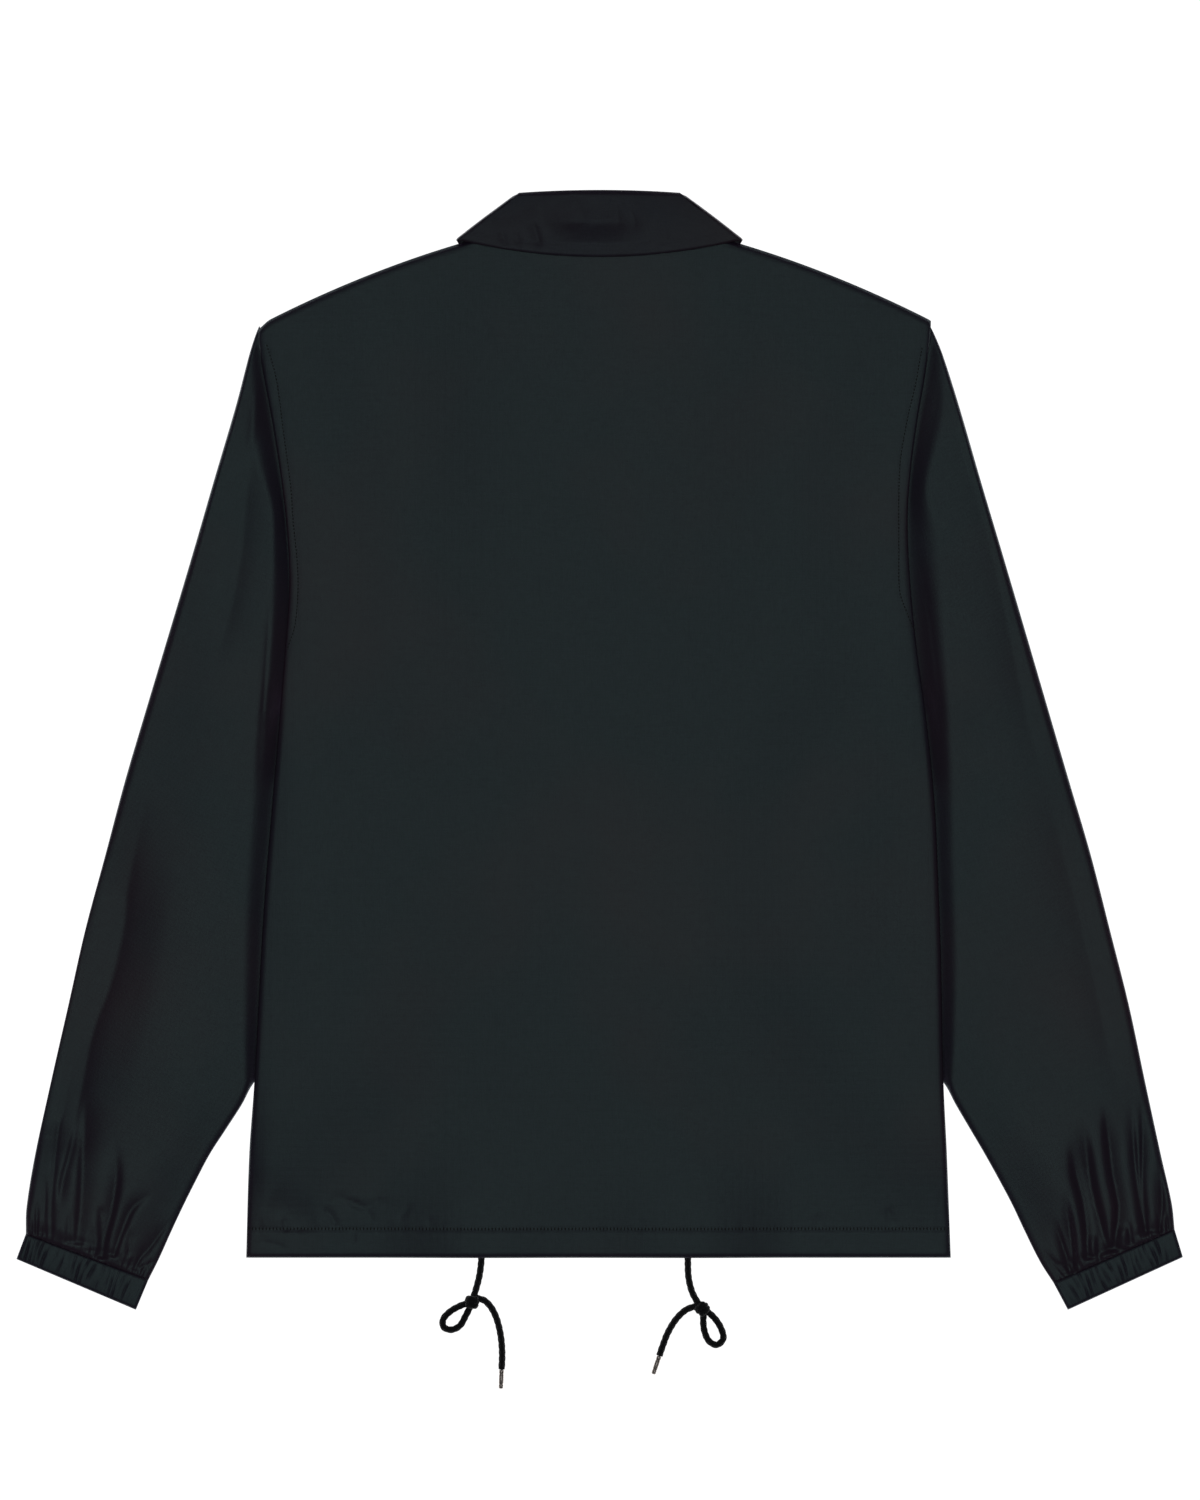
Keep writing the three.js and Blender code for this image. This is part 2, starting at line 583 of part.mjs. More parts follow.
function collar() {
  const leafFold = (f) => {
    const p = frontArc(ROLL, ROLL.y - COLLAR_FRONT.y, lerp(0.08, 1, f));
    return { x: Math.max(p.x, COLLAR_FRONT.x), y: p.y };
  };
  return foldedBand({
    backRibs: 6,
    frontRibs: 6,
    levels: { back: COLLAR_TOP, front: COLLAR_LOW },
    outline: {
      side: { fold: ROLL, edge: COLLAR_CORNER },
      backFold: (f) => ({ x: ROLL.x * f * 0.97, y: ROLL.middle - (ROLL.middle - ROLL.y) * f * f }),
      backEdge: (f) => ({
        x: COLLAR_CORNER.x * f * 0.97,
        y: lerp(COLLAR_BACK_EDGE, COLLAR_CORNER.y, f * f * 0.94),
      }),
      frontFold: leafFold,
      frontEdge: (f) => ({
        x: lerp(COLLAR_CORNER.x - 3, COLLAR_POINT.x, f) + 4 * Math.sin(Math.PI * f),
        y: lerp(COLLAR_CORNER.y - 4, COLLAR_POINT.y, f),
      }),
      steps: [
        { share: 0, add: 0, curl: 0.8 },
        { share: 0, add: 1.3, curl: 0.2 },
        { share: 0, add: 5, curl: 0 },
        { share: 0.4, add: 0, curl: 0 },
        { share: 0.75, add: 0, curl: 0 },
        { share: 1, add: 0, curl: 0 },
      ],
    },
  });
}

function collarStand() {
  const inset = 2.4; // clear of the collar's rolled fold
  const sideFold = { x: ROLL.x - 3.6, y: ROLL.y - 3.4 };
  const sideSeam = { x: NECK_POINT.x - 3.4, y: NECK_POINT.y + 1.4 };
  return foldedBand({
    backRibs: 5,
    frontRibs: 7,
    levels: { back: COLLAR_TOP - LAYER, front: LAYER + CLOTH / 2 },
    outline: {
      side: { fold: sideFold, edge: sideSeam },
      backFold: (f) => ({ x: sideFold.x * f * 0.94, y: lerp(ROLL.middle - inset, sideFold.y, f * f) }),
      backEdge: (f) => {
        const x = sideSeam.x * f * 0.94;
        return { x, y: topEdge(x) + SEAM };
      },
      frontFold: (f) => {
        const p = frontArc(sideFold, sideFold.y - COLLAR_FRONT.y + inset, lerp(0.1, 1, f));
        return { x: Math.max(p.x, 0.5), y: p.y };
      },
      frontEdge: (f) => {
        const seamSide = { x: NECK_POINT.x - SEAM, y: NECK_POINT.y + SEAM };
        const p = frontArc(seamSide, FRONT_NECK_DROP, lerp(0.1, 1, f));
        return { x: Math.max(p.x, 0.5), y: p.y };
      },
      steps: [
        { share: 0, add: 0, curl: 0 },
        { share: 0.5, add: 0, curl: 0 },
        { share: 1, add: 0, curl: 0 },
      ],
    },
  });
}

// A ring that lines the cord's hole in the hem, flat on the inside of the front.
function eyelet(x) {
  const low = CLOTH + SEAM;
  const profile = [
    [EYELET.inner, 0],
    [EYELET.outer, 0],
    [EYELET.outer, EYELET.thick],
    [EYELET.inner, EYELET.thick],
    [EYELET.inner, 0],
  ].map(([r, z]) => new THREE.Vector2(r, z));
  return new THREE.LatheGeometry(profile, 16)
    .rotateX(Math.PI / 2)
    .translate(x, HEM_Y + EYELET.fromHem, low);
}

// A round cord along points of its middle line.
function cordTube(points, steps) {
  const curve = new THREE.CatmullRomCurve3(points.map((p) => new THREE.Vector3(...p)));
  const section = new THREE.Shape();
  for (let i = 0; i < CORD.sides; i++) {
    const turn = ((i + 0.5) * 2 * Math.PI) / CORD.sides;
    const at = [CORD.radius * Math.cos(turn), CORD.radius * Math.sin(turn)];
    if (i === 0) section.moveTo(...at);
    else section.lineTo(...at);
  }
  return new THREE.ExtrudeGeometry(section, { steps, extrudePath: curve });
}

const knotShape = ([x, y], grow = 0) =>
  new THREE.SphereGeometry(1, 14, 10)
    .scale(KNOT.across + grow, KNOT.along + grow, KNOT.high + grow)
    .translate(x, y, KNOT.high);

// The pieces of one free end of the drawcord, by name.
function cordEnd(end) {
  const low = CORD.radius;
  const hemTop = CLOTH + SEAM + EYELET.thick + SEAM + CORD.radius;
  const knotCut = knotShape(end.knot, SEAM);
  const lead = [
    [end.eyelet, HEM_Y + EYELET.fromHem, hemTop],
    [end.eyelet, HEM_Y + 2, hemTop - 0.1],
    ...end.lead.map(([x, y], i) => [x, y, i === 0 ? hemTop - 0.9 : lerp(low + 0.3, KNOT.high, i / 6)]),
  ];
  const loop = end.loop.map(([x, y]) => [x, y, low]);
  const tail = end.tail.map(([x, y], i) => [x, y, Math.max(low, KNOT.high - 1 - i)]);
  const [before, last] = tail.slice(-2);
  const turn = Math.atan2(last[1] - before[1], last[0] - before[0]);
  const tip = new THREE.CylinderGeometry(AGLET.radius, AGLET.radius, AGLET.length, 12)
    .rotateZ(turn + Math.PI / 2)
    .translate(
      last[0] + (SEAM + AGLET.length / 2) * Math.cos(turn),
      last[1] + (SEAM + AGLET.length / 2) * Math.sin(turn),
      low,
    );
  return {
    cord_lead: cut(cordTube(lead, 9), knotCut),
    cord_loop: cut(cordTube(loop, 16), knotCut),
    cord_tail: cut(cordTube(tail, 12), knotCut),
    cord_knot: knotShape(end.knot),
    cord_tip: tip,
  };
}

const nylon = new THREE.MeshStandardMaterial({ color: 0x21282b, roughness: 0.55, metalness: 0 });
const braid = new THREE.MeshStandardMaterial({ color: 0x17171c, roughness: 0.85, metalness: 0 });
const metal = new THREE.MeshStandardMaterial({ color: 0x9a908c, roughness: 0.35, metalness: 1 });
const snapFinish = new THREE.MeshStandardMaterial({ color: 0x1c2124, roughness: 0.4, metalness: 0.3 });

const jacket = new THREE.Group();
function add(name, geometry, material) {
  const mesh = new THREE.Mesh(geometry, material);
  mesh.name = name;
  jacket.add(mesh);
}

const capHoles = snapHeights.map((y) => disc(SNAPS.cap + SEAM, y, -5, 12));
const studHoles = snapHeights.map((y) => disc(SNAPS.stud + SEAM, y, -5, 12));
add("back", backPanel(), nylon);
add("front_left", cut(frontPanel(-1, frontUnder), ...capHoles), nylon);
add("front_right", cut(frontPanel(1, rightFrontUnder), ...studHoles), nylon);
add("collar", collar(), nylon);
add("collar_stand", collarStand(), nylon);
add("sleeve_left", sleeve(-1, GATHERS_LEFT), nylon);
add("sleeve_right", sleeve(1, GATHERS_RIGHT), nylon);
add("cuff_left", cuff(-1), nylon);
add("cuff_right", cuff(1), nylon);
snapHeights.forEach((y, i) => {
  const cap = capLevel(y);
  const stud = studLevel(y);
  add(`snap_cap_${i + 1}`, disc(SNAPS.cap, y, cap, cap + CLOTH), snapFinish);
  add(`snap_stud_${i + 1}`, disc(SNAPS.stud, y, stud, stud + CLOTH), metal);
});
for (const [side, end] of [["left", CORD_LEFT], ["right", CORD_RIGHT]]) {
  add(`eyelet_${side}`, eyelet(end.eyelet), metal);
  for (const [piece, geometry] of Object.entries(cordEnd(end))) {
    add(`${piece}_${side}`, geometry, piece === "cord_tip" ? metal : braid);
  }
}

export default jacket;
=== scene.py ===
# %% [markdown]
# # A lightweight jacket, laid face down
#
# The jacket is an unlined one of thin woven nylon, with snaps down the front, elastic cuffs and a
# drawcord in its hem. It lies on its front with the sleeves brought down beside the body, so its back
# shows. The solids give each piece its place. This lesson makes every piece again as thin cloth, with
# the folds, gathers and stitches that the solids leave out.

# %% Start from the solids
import math

import bpy
import numpy as np
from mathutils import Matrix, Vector


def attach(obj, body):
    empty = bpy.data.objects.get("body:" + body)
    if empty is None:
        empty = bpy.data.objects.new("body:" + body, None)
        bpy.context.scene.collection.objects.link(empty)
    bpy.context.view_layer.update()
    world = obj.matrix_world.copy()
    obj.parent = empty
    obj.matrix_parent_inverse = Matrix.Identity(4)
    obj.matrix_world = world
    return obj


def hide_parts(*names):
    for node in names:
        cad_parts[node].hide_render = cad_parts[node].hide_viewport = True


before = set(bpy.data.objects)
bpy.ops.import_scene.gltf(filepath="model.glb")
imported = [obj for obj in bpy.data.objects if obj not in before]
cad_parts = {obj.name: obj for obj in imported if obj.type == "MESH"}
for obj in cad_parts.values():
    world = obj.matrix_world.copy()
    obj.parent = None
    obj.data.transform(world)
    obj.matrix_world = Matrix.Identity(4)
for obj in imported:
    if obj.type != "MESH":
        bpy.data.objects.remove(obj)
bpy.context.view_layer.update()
MM = 0.001
print("nodes:", len(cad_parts))

# %% [markdown]
# The camera comes first, because all the rest is judged through it. The photograph looks straight
# down at the back, and a long lens keeps the outline from bulging. Its height follows from the lens:
# the picture's longer side takes in a little over a metre of floor.

# %% Look straight down
PICTURE_HEIGHT = 1035.0
PICTURE_CENTRE = (0.35, 1.0)
CLOTH_LEVEL = 6.0

camera_data = bpy.data.cameras.new("camera")
camera_data.sensor_fit = "VERTICAL"
camera_data.sensor_height = 36.0
camera_data.lens = 300.0
camera = bpy.data.objects.new("camera", camera_data)
camera_distance = PICTURE_HEIGHT * camera_data.lens / camera_data.sensor_height
camera.location = (
    PICTURE_CENTRE[0] * MM,
    PICTURE_CENTRE[1] * MM,
    (camera_distance + CLOTH_LEVEL) * MM,
)
bpy.context.scene.collection.objects.link(camera)
bpy.context.scene.camera = camera
print("camera height in metres:", round(camera.location.z, 3))

# %% [markdown]
# Materials are small node trees. Two helpers keep them short: one turns an sRGB hex colour into the
# linear colour that Blender works in, and one adds a node with its settings and its links.

# %% Helpers for materials
def colour(hex_code, alpha=1.0):
    """The linear colour of an sRGB hex code."""
    parts = [int(hex_code[i:i + 2], 16) / 255 for i in (1, 3, 5)]
    return tuple(c / 12.92 if c <= 0.04045 else ((c + 0.055) / 1.055) ** 2.4 for c in parts) + (alpha,)


def add_node(tree, kind, inputs=None, **settings):
    """Adds a node. An input that is a socket is linked, and any other input is a plain value."""
    node = tree.nodes.new(kind)
    for name, value in settings.items():
        setattr(node, name, value)
    for name, value in (inputs or {}).items():
        if isinstance(value, bpy.types.NodeSocket):
            tree.links.new(value, node.inputs[name])
        else:
            node.inputs[name].default_value = value
    return node


def new_material(name):
    material = bpy.data.materials.new(name)
    material.use_nodes = True
    tree = material.node_tree
    tree.nodes.clear()
    shader = add_node(tree, "ShaderNodeBsdfPrincipled")
    output = add_node(tree, "ShaderNodeOutputMaterial")
    tree.links.new(shader.outputs["BSDF"], output.inputs["Surface"])
    return material, tree, shader


# %% [markdown]
# The cloth is a plain-woven nylon, dyed a purple-black and calendered on the outside. Two things make
# its colour. Flat cloth mirrors the soft light overhead as a faint blue-green shine, so it looks like a
# dark slate. Where a fold tilts the cloth out of that mirror, the purple-black of the dye is all that is
# left. One colour could not do both, so the dye is the base colour and the shine is the tint of the
# gloss. The yarns take the dye a little unevenly, which gives a very fine fleck along the warp and the
# weft, and broad soft patches. The pattern reads each piece's own UV map, which is in metres, so that
# it follows the cloth down a slanting sleeve.

# %% Woven nylon
# A real yarn is about 0.15 mm thick. It is drawn coarser, or it would be lost between the pixels.
YARN = 0.8
FLECK_LENGTH = 9.0
FLECK_WIDTH = 0.9
DYE_PATCH = 210.0
NYLON_IOR = 1.53
# Blender's bands are this many times longer than the scale says.
BAND_UNIT = 2 * math.pi / 20


def woven_nylon(name, hex_dark, hex_light, hex_patch, hex_gloss, roughness, shine):
    """Dark and light yarns, patches where the dye is redder, and the colour and strength of the gloss."""
    material, tree, shader = new_material(name)
    uv = add_node(tree, "ShaderNodeUVMap", uv_map="cloth")
    flecks = []
    for across, lengthways in ((FLECK_WIDTH, FLECK_LENGTH), (FLECK_LENGTH, FLECK_WIDTH)):
        place = add_node(
            tree, "ShaderNodeMapping",
            {"Vector": uv.outputs["UV"], "Scale": (1000 / across, 1000 / lengthways, 1.0)},
        )
        flecks.append(add_node(
            tree, "ShaderNodeTexNoise",
            {"Vector": place.outputs["Vector"], "Scale": 1.0, "Detail": 2.0, "Roughness": 0.6},
        ))
    fleck = add_node(tree, "ShaderNodeMix", {"Factor": 0.5}, data_type="FLOAT")
    tree.links.new(flecks[0].outputs["Fac"], fleck.inputs[2])
    tree.links.new(flecks[1].outputs["Fac"], fleck.inputs[3])
    tone = add_node(
        tree, "ShaderNodeMapRange",
        {"Value": fleck.outputs[0], "From Min": 0.38, "From Max": 0.62, "To Min": 0.0, "To Max": 1.0},
    )
    cloth = add_node(tree, "ShaderNodeMix", {"Factor": tone.outputs["Result"]}, data_type="RGBA")
    cloth.inputs[6].default_value = colour(hex_dark)
    cloth.inputs[7].default_value = colour(hex_light)
    patches = add_node(
        tree, "ShaderNodeTexNoise",
        {"Vector": uv.outputs["UV"], "Scale": 1000 / DYE_PATCH, "Detail": 3.0, "Roughness": 0.5},
    )
    patch = add_node(
        tree, "ShaderNodeMapRange",
        {"Value": patches.outputs["Fac"], "From Min": 0.47, "From Max": 0.72, "To Min": 0.0, "To Max": 1.0},
    )
    dyed = add_node(tree, "ShaderNodeMix", {"Factor": patch.outputs["Result"]}, data_type="RGBA")
    tree.links.new(cloth.outputs[2], dyed.inputs[6])
    dyed.inputs[7].default_value = colour(hex_patch)
    tree.links.new(dyed.outputs[2], shader.inputs["Base Color"])
    yarns = []
    for direction in ("X", "Y"):
        yarns.append(add_node(
            tree, "ShaderNodeTexWave",
            {"Vector": uv.outputs["UV"], "Scale": BAND_UNIT * 1000 / YARN, "Distortion": 0.6,
             "Detail": 1.0, "Detail Scale": 0.4},
            wave_type="BANDS", bands_direction=direction,
        ))
    weave = add_node(tree, "ShaderNodeMath", operation="ADD")
    tree.links.new(yarns[0].outputs["Fac"], weave.inputs[0])
    tree.links.new(yarns[1].outputs["Fac"], weave.inputs[1])
    relief = add_node(tree, "ShaderNodeMath", operation="MULTIPLY_ADD")
    tree.links.new(fleck.outputs[0], relief.inputs[0])
    relief.inputs[1].default_value = 3.0
    tree.links.new(weave.outputs[0], relief.inputs[2])
    bump = add_node(
        tree, "ShaderNodeBump",
        {"Height": relief.outputs[0], "Strength": 0.25, "Distance": 0.1 * MM},
    )
    tree.links.new(bump.outputs["Normal"], shader.inputs["Normal"])
    shader.inputs["Roughness"].default_value = roughness
    shader.inputs["IOR"].default_value = NYLON_IOR
    shader.inputs["Specular IOR Level"].default_value = shine
    shader.inputs["Specular Tint"].default_value = colour(hex_gloss)
    shader.inputs["Sheen Weight"].default_value = 0.05
    shader.inputs["Sheen Roughness"].default_value = 0.45
    return material


nylon = woven_nylon("woven nylon", "#312539", "#382C42", "#46293E", "#C6F9F0", 0.38, 0.5)
# The collar is cut across the cloth, and it shines less that way.
collar_nylon = woven_nylon(
    "woven nylon, cut across", "#2F2436", "#362B3F", "#3C2938", "#D2F3F4", 0.38, 0.38,
)
print("cloth:", nylon.name, "and", collar_nylon.name)

# %% [markdown]
# The drawcord is braided from dull black polyester. Its braid is real relief on the tube, so the
# material only has to be matt and a little fuzzy. The thread is spun polyester, dyed to match
# the cloth but without its shine, so a row of stitches reads as a darker line. Where a bead is drawn as
# wide as a stitch's pucker, its dark colour is painted shade of that pucker.

# %% Braided polyester and sewing thread
# Flecks of the fibre in each millimetre.
FIBRE_FLECKS = 2.6


def plain_fibre(name, hex_code, roughness, sheen):
    material, tree, shader = new_material(name)
    place = add_node(tree, "ShaderNodeTexCoord")
    noise = add_node(
        tree, "ShaderNodeTexNoise",
        {"Vector": place.outputs["Object"], "Scale": 1000 * FIBRE_FLECKS, "Detail": 2.0},
    )
    tint = add_node(tree, "ShaderNodeHueSaturation", {"Color": colour(hex_code)})
    level = add_node(
        tree, "ShaderNodeMapRange",
        {"Value": noise.outputs["Fac"], "From Min": 0.3, "From Max": 0.7, "To Min": 0.7, "To Max": 1.3},
    )
    tree.links.new(level.outputs["Result"], tint.inputs["Value"])
    tree.links.new(tint.outputs["Color"], shader.inputs["Base Color"])
    shader.inputs["Roughness"].default_value = roughness
    shader.inputs["Sheen Weight"].default_value = sheen
    shader.inputs["Sheen Roughness"].default_value = 0.5
    return material


braid = plain_fibre("braided polyester", "#0E1015", 0.8, 0.15)
# On the wide beads of the hem and the collar this dark colour is painted shade of the puckers.
thread = plain_fibre("sewing thread with painted pucker shade", "#14181A", 0.6, 0.1)
print("fibres:", braid.name, "and", thread.name)

# %% [markdown]
# The cord tips are crimped from nickel-plated steel sheet, and the snap studs and eyelets are the same
# metal. The snap caps are painted to match the cloth. Metal that has been tumbled and handled isn't
# equally bright all over, so a fine noise varies its roughness.

# %% Nickel-plated steel and painted caps
def handled_metal(name, hex_code, metallic, low, high, grain):
    material, tree, shader = new_material(name)
    place = add_node(tree, "ShaderNodeTexCoord")
    noise = add_node(
        tree, "ShaderNodeTexNoise",
        {"Vector": place.outputs["Object"], "Scale": 1000 / grain, "Detail": 3.0},
    )
    rough = add_node(
        tree, "ShaderNodeMapRange",
        {"Value": noise.outputs["Fac"], "From Min": 0.3, "From Max": 0.7, "To Min": low, "To Max": high},
    )
    tree.links.new(rough.outputs["Result"], shader.inputs["Roughness"])
    shader.inputs["Base Color"].default_value = colour(hex_code)
    shader.inputs["Metallic"].default_value = metallic
    return material


nickel = handled_metal("nickel-plated steel", "#B9B1AC", 1.0, 0.22, 0.4, 1.5)
painted = handled_metal("painted snap cap", "#1B2124", 0.0, 0.35, 0.5, 2.0)
print("trims:", nickel.name, "and", painted.name)

# %% [markdown]
# All cloth pieces are grids of points in millimetres. A grid is smooth where its rows come from smooth
# curves, so one helper runs a smooth curve through the rows of a short table, and another runs one
# through points in the plan.

# %% Helpers for smooth curves
def smoothstep(low, high, value):
    f = np.clip((value - low) / (high - low), 0, 1)
    return f * f * (3 - 2 * f)


def through(table, value):
    """The second column of a table at values of its first, on a smooth curve through its rows."""
    at, out = np.array(table, float).T
    before, after = np.r_[0, :len(at) - 1], np.r_[1:len(at), len(at) - 1]
    slope = (out[after] - out[before]) / (at[after] - at[before])
    value = np.asarray(value, float)
    i = np.clip(np.searchsorted(at, value) - 1, 0, len(at) - 2)
    run = at[i + 1] - at[i]
    f = np.clip((value - at[i]) / run, 0, 1)
    ends = (2 * f**3 - 3 * f**2 + 1) * out[i] + (3 * f**2 - 2 * f**3) * out[i + 1]
    return ends + run * ((f**3 - 2 * f**2 + f) * slope[i] + (f**3 - f**2) * slope[i + 1])


def path_through(points, shares):
    """Points at shares of the length of a smooth path through the given ones."""
    points = np.array(points, float)
    steps = np.hypot(*np.diff(points[:, :2], axis=0).T)
    run = np.concatenate([[0], np.cumsum(steps)])
    fine = np.linspace(0, run[-1], 400)
    curve = np.stack([through(np.stack([run, column], 1), fine) for column in points.T], 1)
    length = np.concatenate([[0], np.cumsum(np.linalg.norm(np.diff(curve, axis=0), axis=1))])
    at = np.asarray(shares) * length[-1]
    return np.stack([np.interp(at, length, column) for column in curve.T], -1), length[-1]


# %% [markdown]
# The outline of the back is read from the photograph and written as real sizes, in millimetres from
# the middle of the jacket. The two sides differ by a few millimetres, because cloth laid by hand never
# lies quite evenly.

# %% Outline of the body
HEM = -349.5
HEM_DEPTH = 20.0
TIP = 296.0
PLACKET = 15.0
NECK_HALF = 82.5
NECK_TOP = 354.6
SHOULDER_HALF = 231.5
BACK_NECK_DROP = 5.8
FRONT_NECK_DROP = 81.0

# Columns: height, distance of the edge from the middle.
LEFT_EDGE = (
    (-349.5, 243.9), (-278, 241.8), (-227, 238.2), (-140, 233.6), (-89, 230.2), (-37, 225.8),
    (15, 221.2), (67, 216.8), (111, 214.0), (153, 216.2), (187, 220.2), (222, 225.3), (256, 231.0),
    (285, 235.0), (296, 235.4),
)
RIGHT_EDGE = (
    (-349.5, 242.5), (-278, 239.8), (-227, 237.4), (-140, 235.6), (-89, 233.8), (-37, 231.4),
    (15, 226.2), (67, 218.8), (111, 214.4), (153, 212.6), (187, 214.8), (222, 219.2), (256, 224.6),
    (285, 228.2), (296, 228.8),
)


def edge(side, y):
    return through(LEFT_EDGE if side < 0 else RIGHT_EDGE, y)


def trim(y):
    """How far the fronts are cut back where the sleeve passes their edge at the underarm."""
    return 6.5 * smoothstep(6, 22, y) * (1 - smoothstep(66, 88, y))


def top_edge(x):
    """Height of the neckline and the two shoulder seams of the back."""
    a = np.abs(x)
    neck = NECK_TOP - BACK_NECK_DROP * (1 - np.minimum(a / NECK_HALF, 1) ** 2)
    f = np.clip((a - NECK_HALF) / (SHOULDER_HALF - NECK_HALF), 0, 1.03)
    shoulder = NECK_TOP + (TIP - NECK_TOP) * f + 18 * f * (1 - f)
    corner = 2.5 * smoothstep(SHOULDER_HALF - 7, SHOULDER_HALF + 4, a) ** 2
    return np.where(a < NECK_HALF, neck, shoulder - corner)


print("back, widest and longest:", 2 * LEFT_EDGE[0][1], round(NECK_TOP - HEM, 1))

# %% [markdown]
# The back rests on what is under it: the two fronts, the leaves of the collar and the part of each
# sleeve that is tucked under the body. Its height is worked out from them in long slow slopes, as thin
# cloth bridges from one layer to the next. The same heights were used for the solids.

# %% Heights of the layers
CLOTH = 1.2
LAYER = CLOTH + 0.5
SLEEVE_FLAT = 3.0
HEAD_RISE = 3.35
LEAF = ((57.6, 383.3), (98.6, 351.8), (43.1, 241.2), (4.1, 301.2))
TUCKED = (
    (217.5, 24), (193, -6), (172, -34), (159, -62), (156, -93), (163, -126), (179, -160),
    (205, -195), (237.5, -228), (250, -226), (250, 24),
)
HEAD = (
    (211, 62), (207, 100), (206, 130), (206.5, 160), (210, 190), (216, 230), (224, 285), (240, 285),
    (240, 62),
)
CORD_AT = (-81.6, 61.0)
EYELET_UP = 9.0


def outside(outline, x, y):
    """Distance of each point from a closed outline, 0 inside it."""
    nearest = np.full(x.shape, np.inf)
    within = np.zeros(x.shape, bool)
    for (ax, ay), (bx, by) in zip(outline, outline[1:] + outline[:1]):
        dx, dy = bx - ax, by - ay
        t = np.clip(((x - ax) * dx + (y - ay) * dy) / (dx * dx + dy * dy), 0, 1)
        nearest = np.minimum(nearest, np.hypot(x - ax - t * dx, y - ay - t * dy))
        if ay != by:
            within ^= ((ay > y) != (by > y)) & (x < ax + dx * (y - ay) / dy)
    return np.where(within, 0, nearest)


def over(outline, x, y, margin, run):
    return 1 - smoothstep(margin, margin + run, outside(outline, np.abs(x), y))


def front_under(x, y):
    leaf = LAYER * over(LEAF, x, y, 14, 24)
    sleeve = (SLEEVE_FLAT + 0.5) * over(TUCKED, x, y, 16, 40) * (1 - smoothstep(28, 58, y))
    return np.maximum(leaf, sleeve)


def right_front_under(x, y):
    return front_under(x, y) + LAYER * (1 - smoothstep(20, 46, x))


def back_under(x, y):
    leaf = LAYER * over(LEAF, x, y, 18, 90)
    placket = LAYER * (1 - smoothstep(24, 130, np.abs(x)))
    tucked = (SLEEVE_FLAT + 0.5) * over(TUCKED, x, y, 18, 90)
    head = HEAD_RISE * over(HEAD, x, y, 6, 80)
    flat = LAYER + leaf + placket + np.maximum(tucked, head)
    cord = np.zeros(x.shape)
    for at in CORD_AT:
        beside = 1 - smoothstep(3, 78, np.abs(x - at))
        cord = np.maximum(cord, beside * (1 - smoothstep(8, 112, y - HEM)))
    return flat + np.maximum(0, 6.9 - flat) * cord


# %% [markdown]
# Folds are listed one row each: where the fold runs in the plan, how wide and how high it is,
# how round it is across, and over what share of its length each end fades away. A negative height is a
# trough. Two widths are those on the right and on the left of the path, for a fold that is steep on one
# side only. One function turns such a table into a height for every point of a grid.

# %% Helper for folds
# How round a fold is across: 2 is a soft hump, and near 1 its sides are straight and meet in a line.
RIDGE = 2.0
CREASE = 1.3


def beside_path(path, x, y):
    """Distance of each point from a path, more than 0 on its left, and the nearest share of its length."""
    steps = np.hypot(*np.diff(path, axis=0).T)
    run = np.concatenate([[0], np.cumsum(steps)]) / steps.sum()
    nearest = np.full(x.shape, np.inf)
    share = np.zeros(x.shape)
    for (ax, ay), (bx, by), start, end in zip(path, path[1:], run, run[1:]):
        dx, dy = bx - ax, by - ay
        t = np.clip(((x - ax) * dx + (y - ay) * dy) / (dx * dx + dy * dy), 0, 1)
        gap = np.hypot(x - ax - t * dx, y - ay - t * dy)
        sign = np.where(dx * (y - ay) - dy * (x - ax) < 0, -1, 1)
        nearer = gap < np.abs(nearest)
        share = np.where(nearer, start + (end - start) * t, share)
        nearest = np.where(nearer, sign * gap, nearest)
    return nearest, share


def fold_height(folds, x, y):
    """Height that a table of folds adds at each point."""
    total = np.zeros(x.shape)
    for fold in folds:
        path, _ = path_through(fold["path"], np.linspace(0, 1, 14))
        right, left = np.broadcast_to(fold["wide"], 2)
        reach = 3 * max(right, left)
        low, high = path.min(axis=0) - reach, path.max(axis=0) + reach
        near = (x > low[0]) & (x < high[0]) & (y > low[1]) & (y < high[1])
        if not near.any():
            continue
        gap, share = beside_path(path, x[near], y[near])
        start, end = fold.get("fade", (0.3, 0.3))
        taper = smoothstep(0, start, share + 1e-9) * smoothstep(0, end, 1 - share + 1e-9)
        usual = RIDGE if fold["high"] > 0 else CREASE
        round_right, round_left = fold.get("shape", (usual, usual))
        reach = np.abs(gap) / np.where(gap < 0, right, left)
        total[near] += fold["high"] * np.exp(-(reach ** np.where(gap < 0, round_right, round_left))) * taper
    return total


# %% [markdown]
# Every cloth piece is made the same way. A grid of points becomes quads, Solidify gives it a wall of
# about half a millimetre, and the result is kept as a plain mesh. Its UV map is in metres of cloth. The
# piece then rides on the jacket's one body and replaces its solid.

# %% Helpers for cloth pieces
WALL = 0.5


def keep_result(piece):
    """Replaces an object's mesh by what its modifiers make of it, and removes them."""
    graph = bpy.context.evaluated_depsgraph_get()
    result = bpy.data.meshes.new_from_object(piece.evaluated_get(graph), depsgraph=graph)
    piece.modifiers.clear()
    piece.data = result
    return piece


def new_object(name, points, faces, material):
    """An object at the origin, with its points given in millimetres."""
    mesh = bpy.data.meshes.new(name)
    mesh.from_pydata((np.asarray(points) * MM).tolist(), [], faces)
    mesh.polygons.foreach_set("use_smooth", [True] * len(mesh.polygons))
    mesh.materials.append(material)
    piece = bpy.data.objects.new(name, mesh)
    bpy.context.scene.collection.objects.link(piece)
    return piece


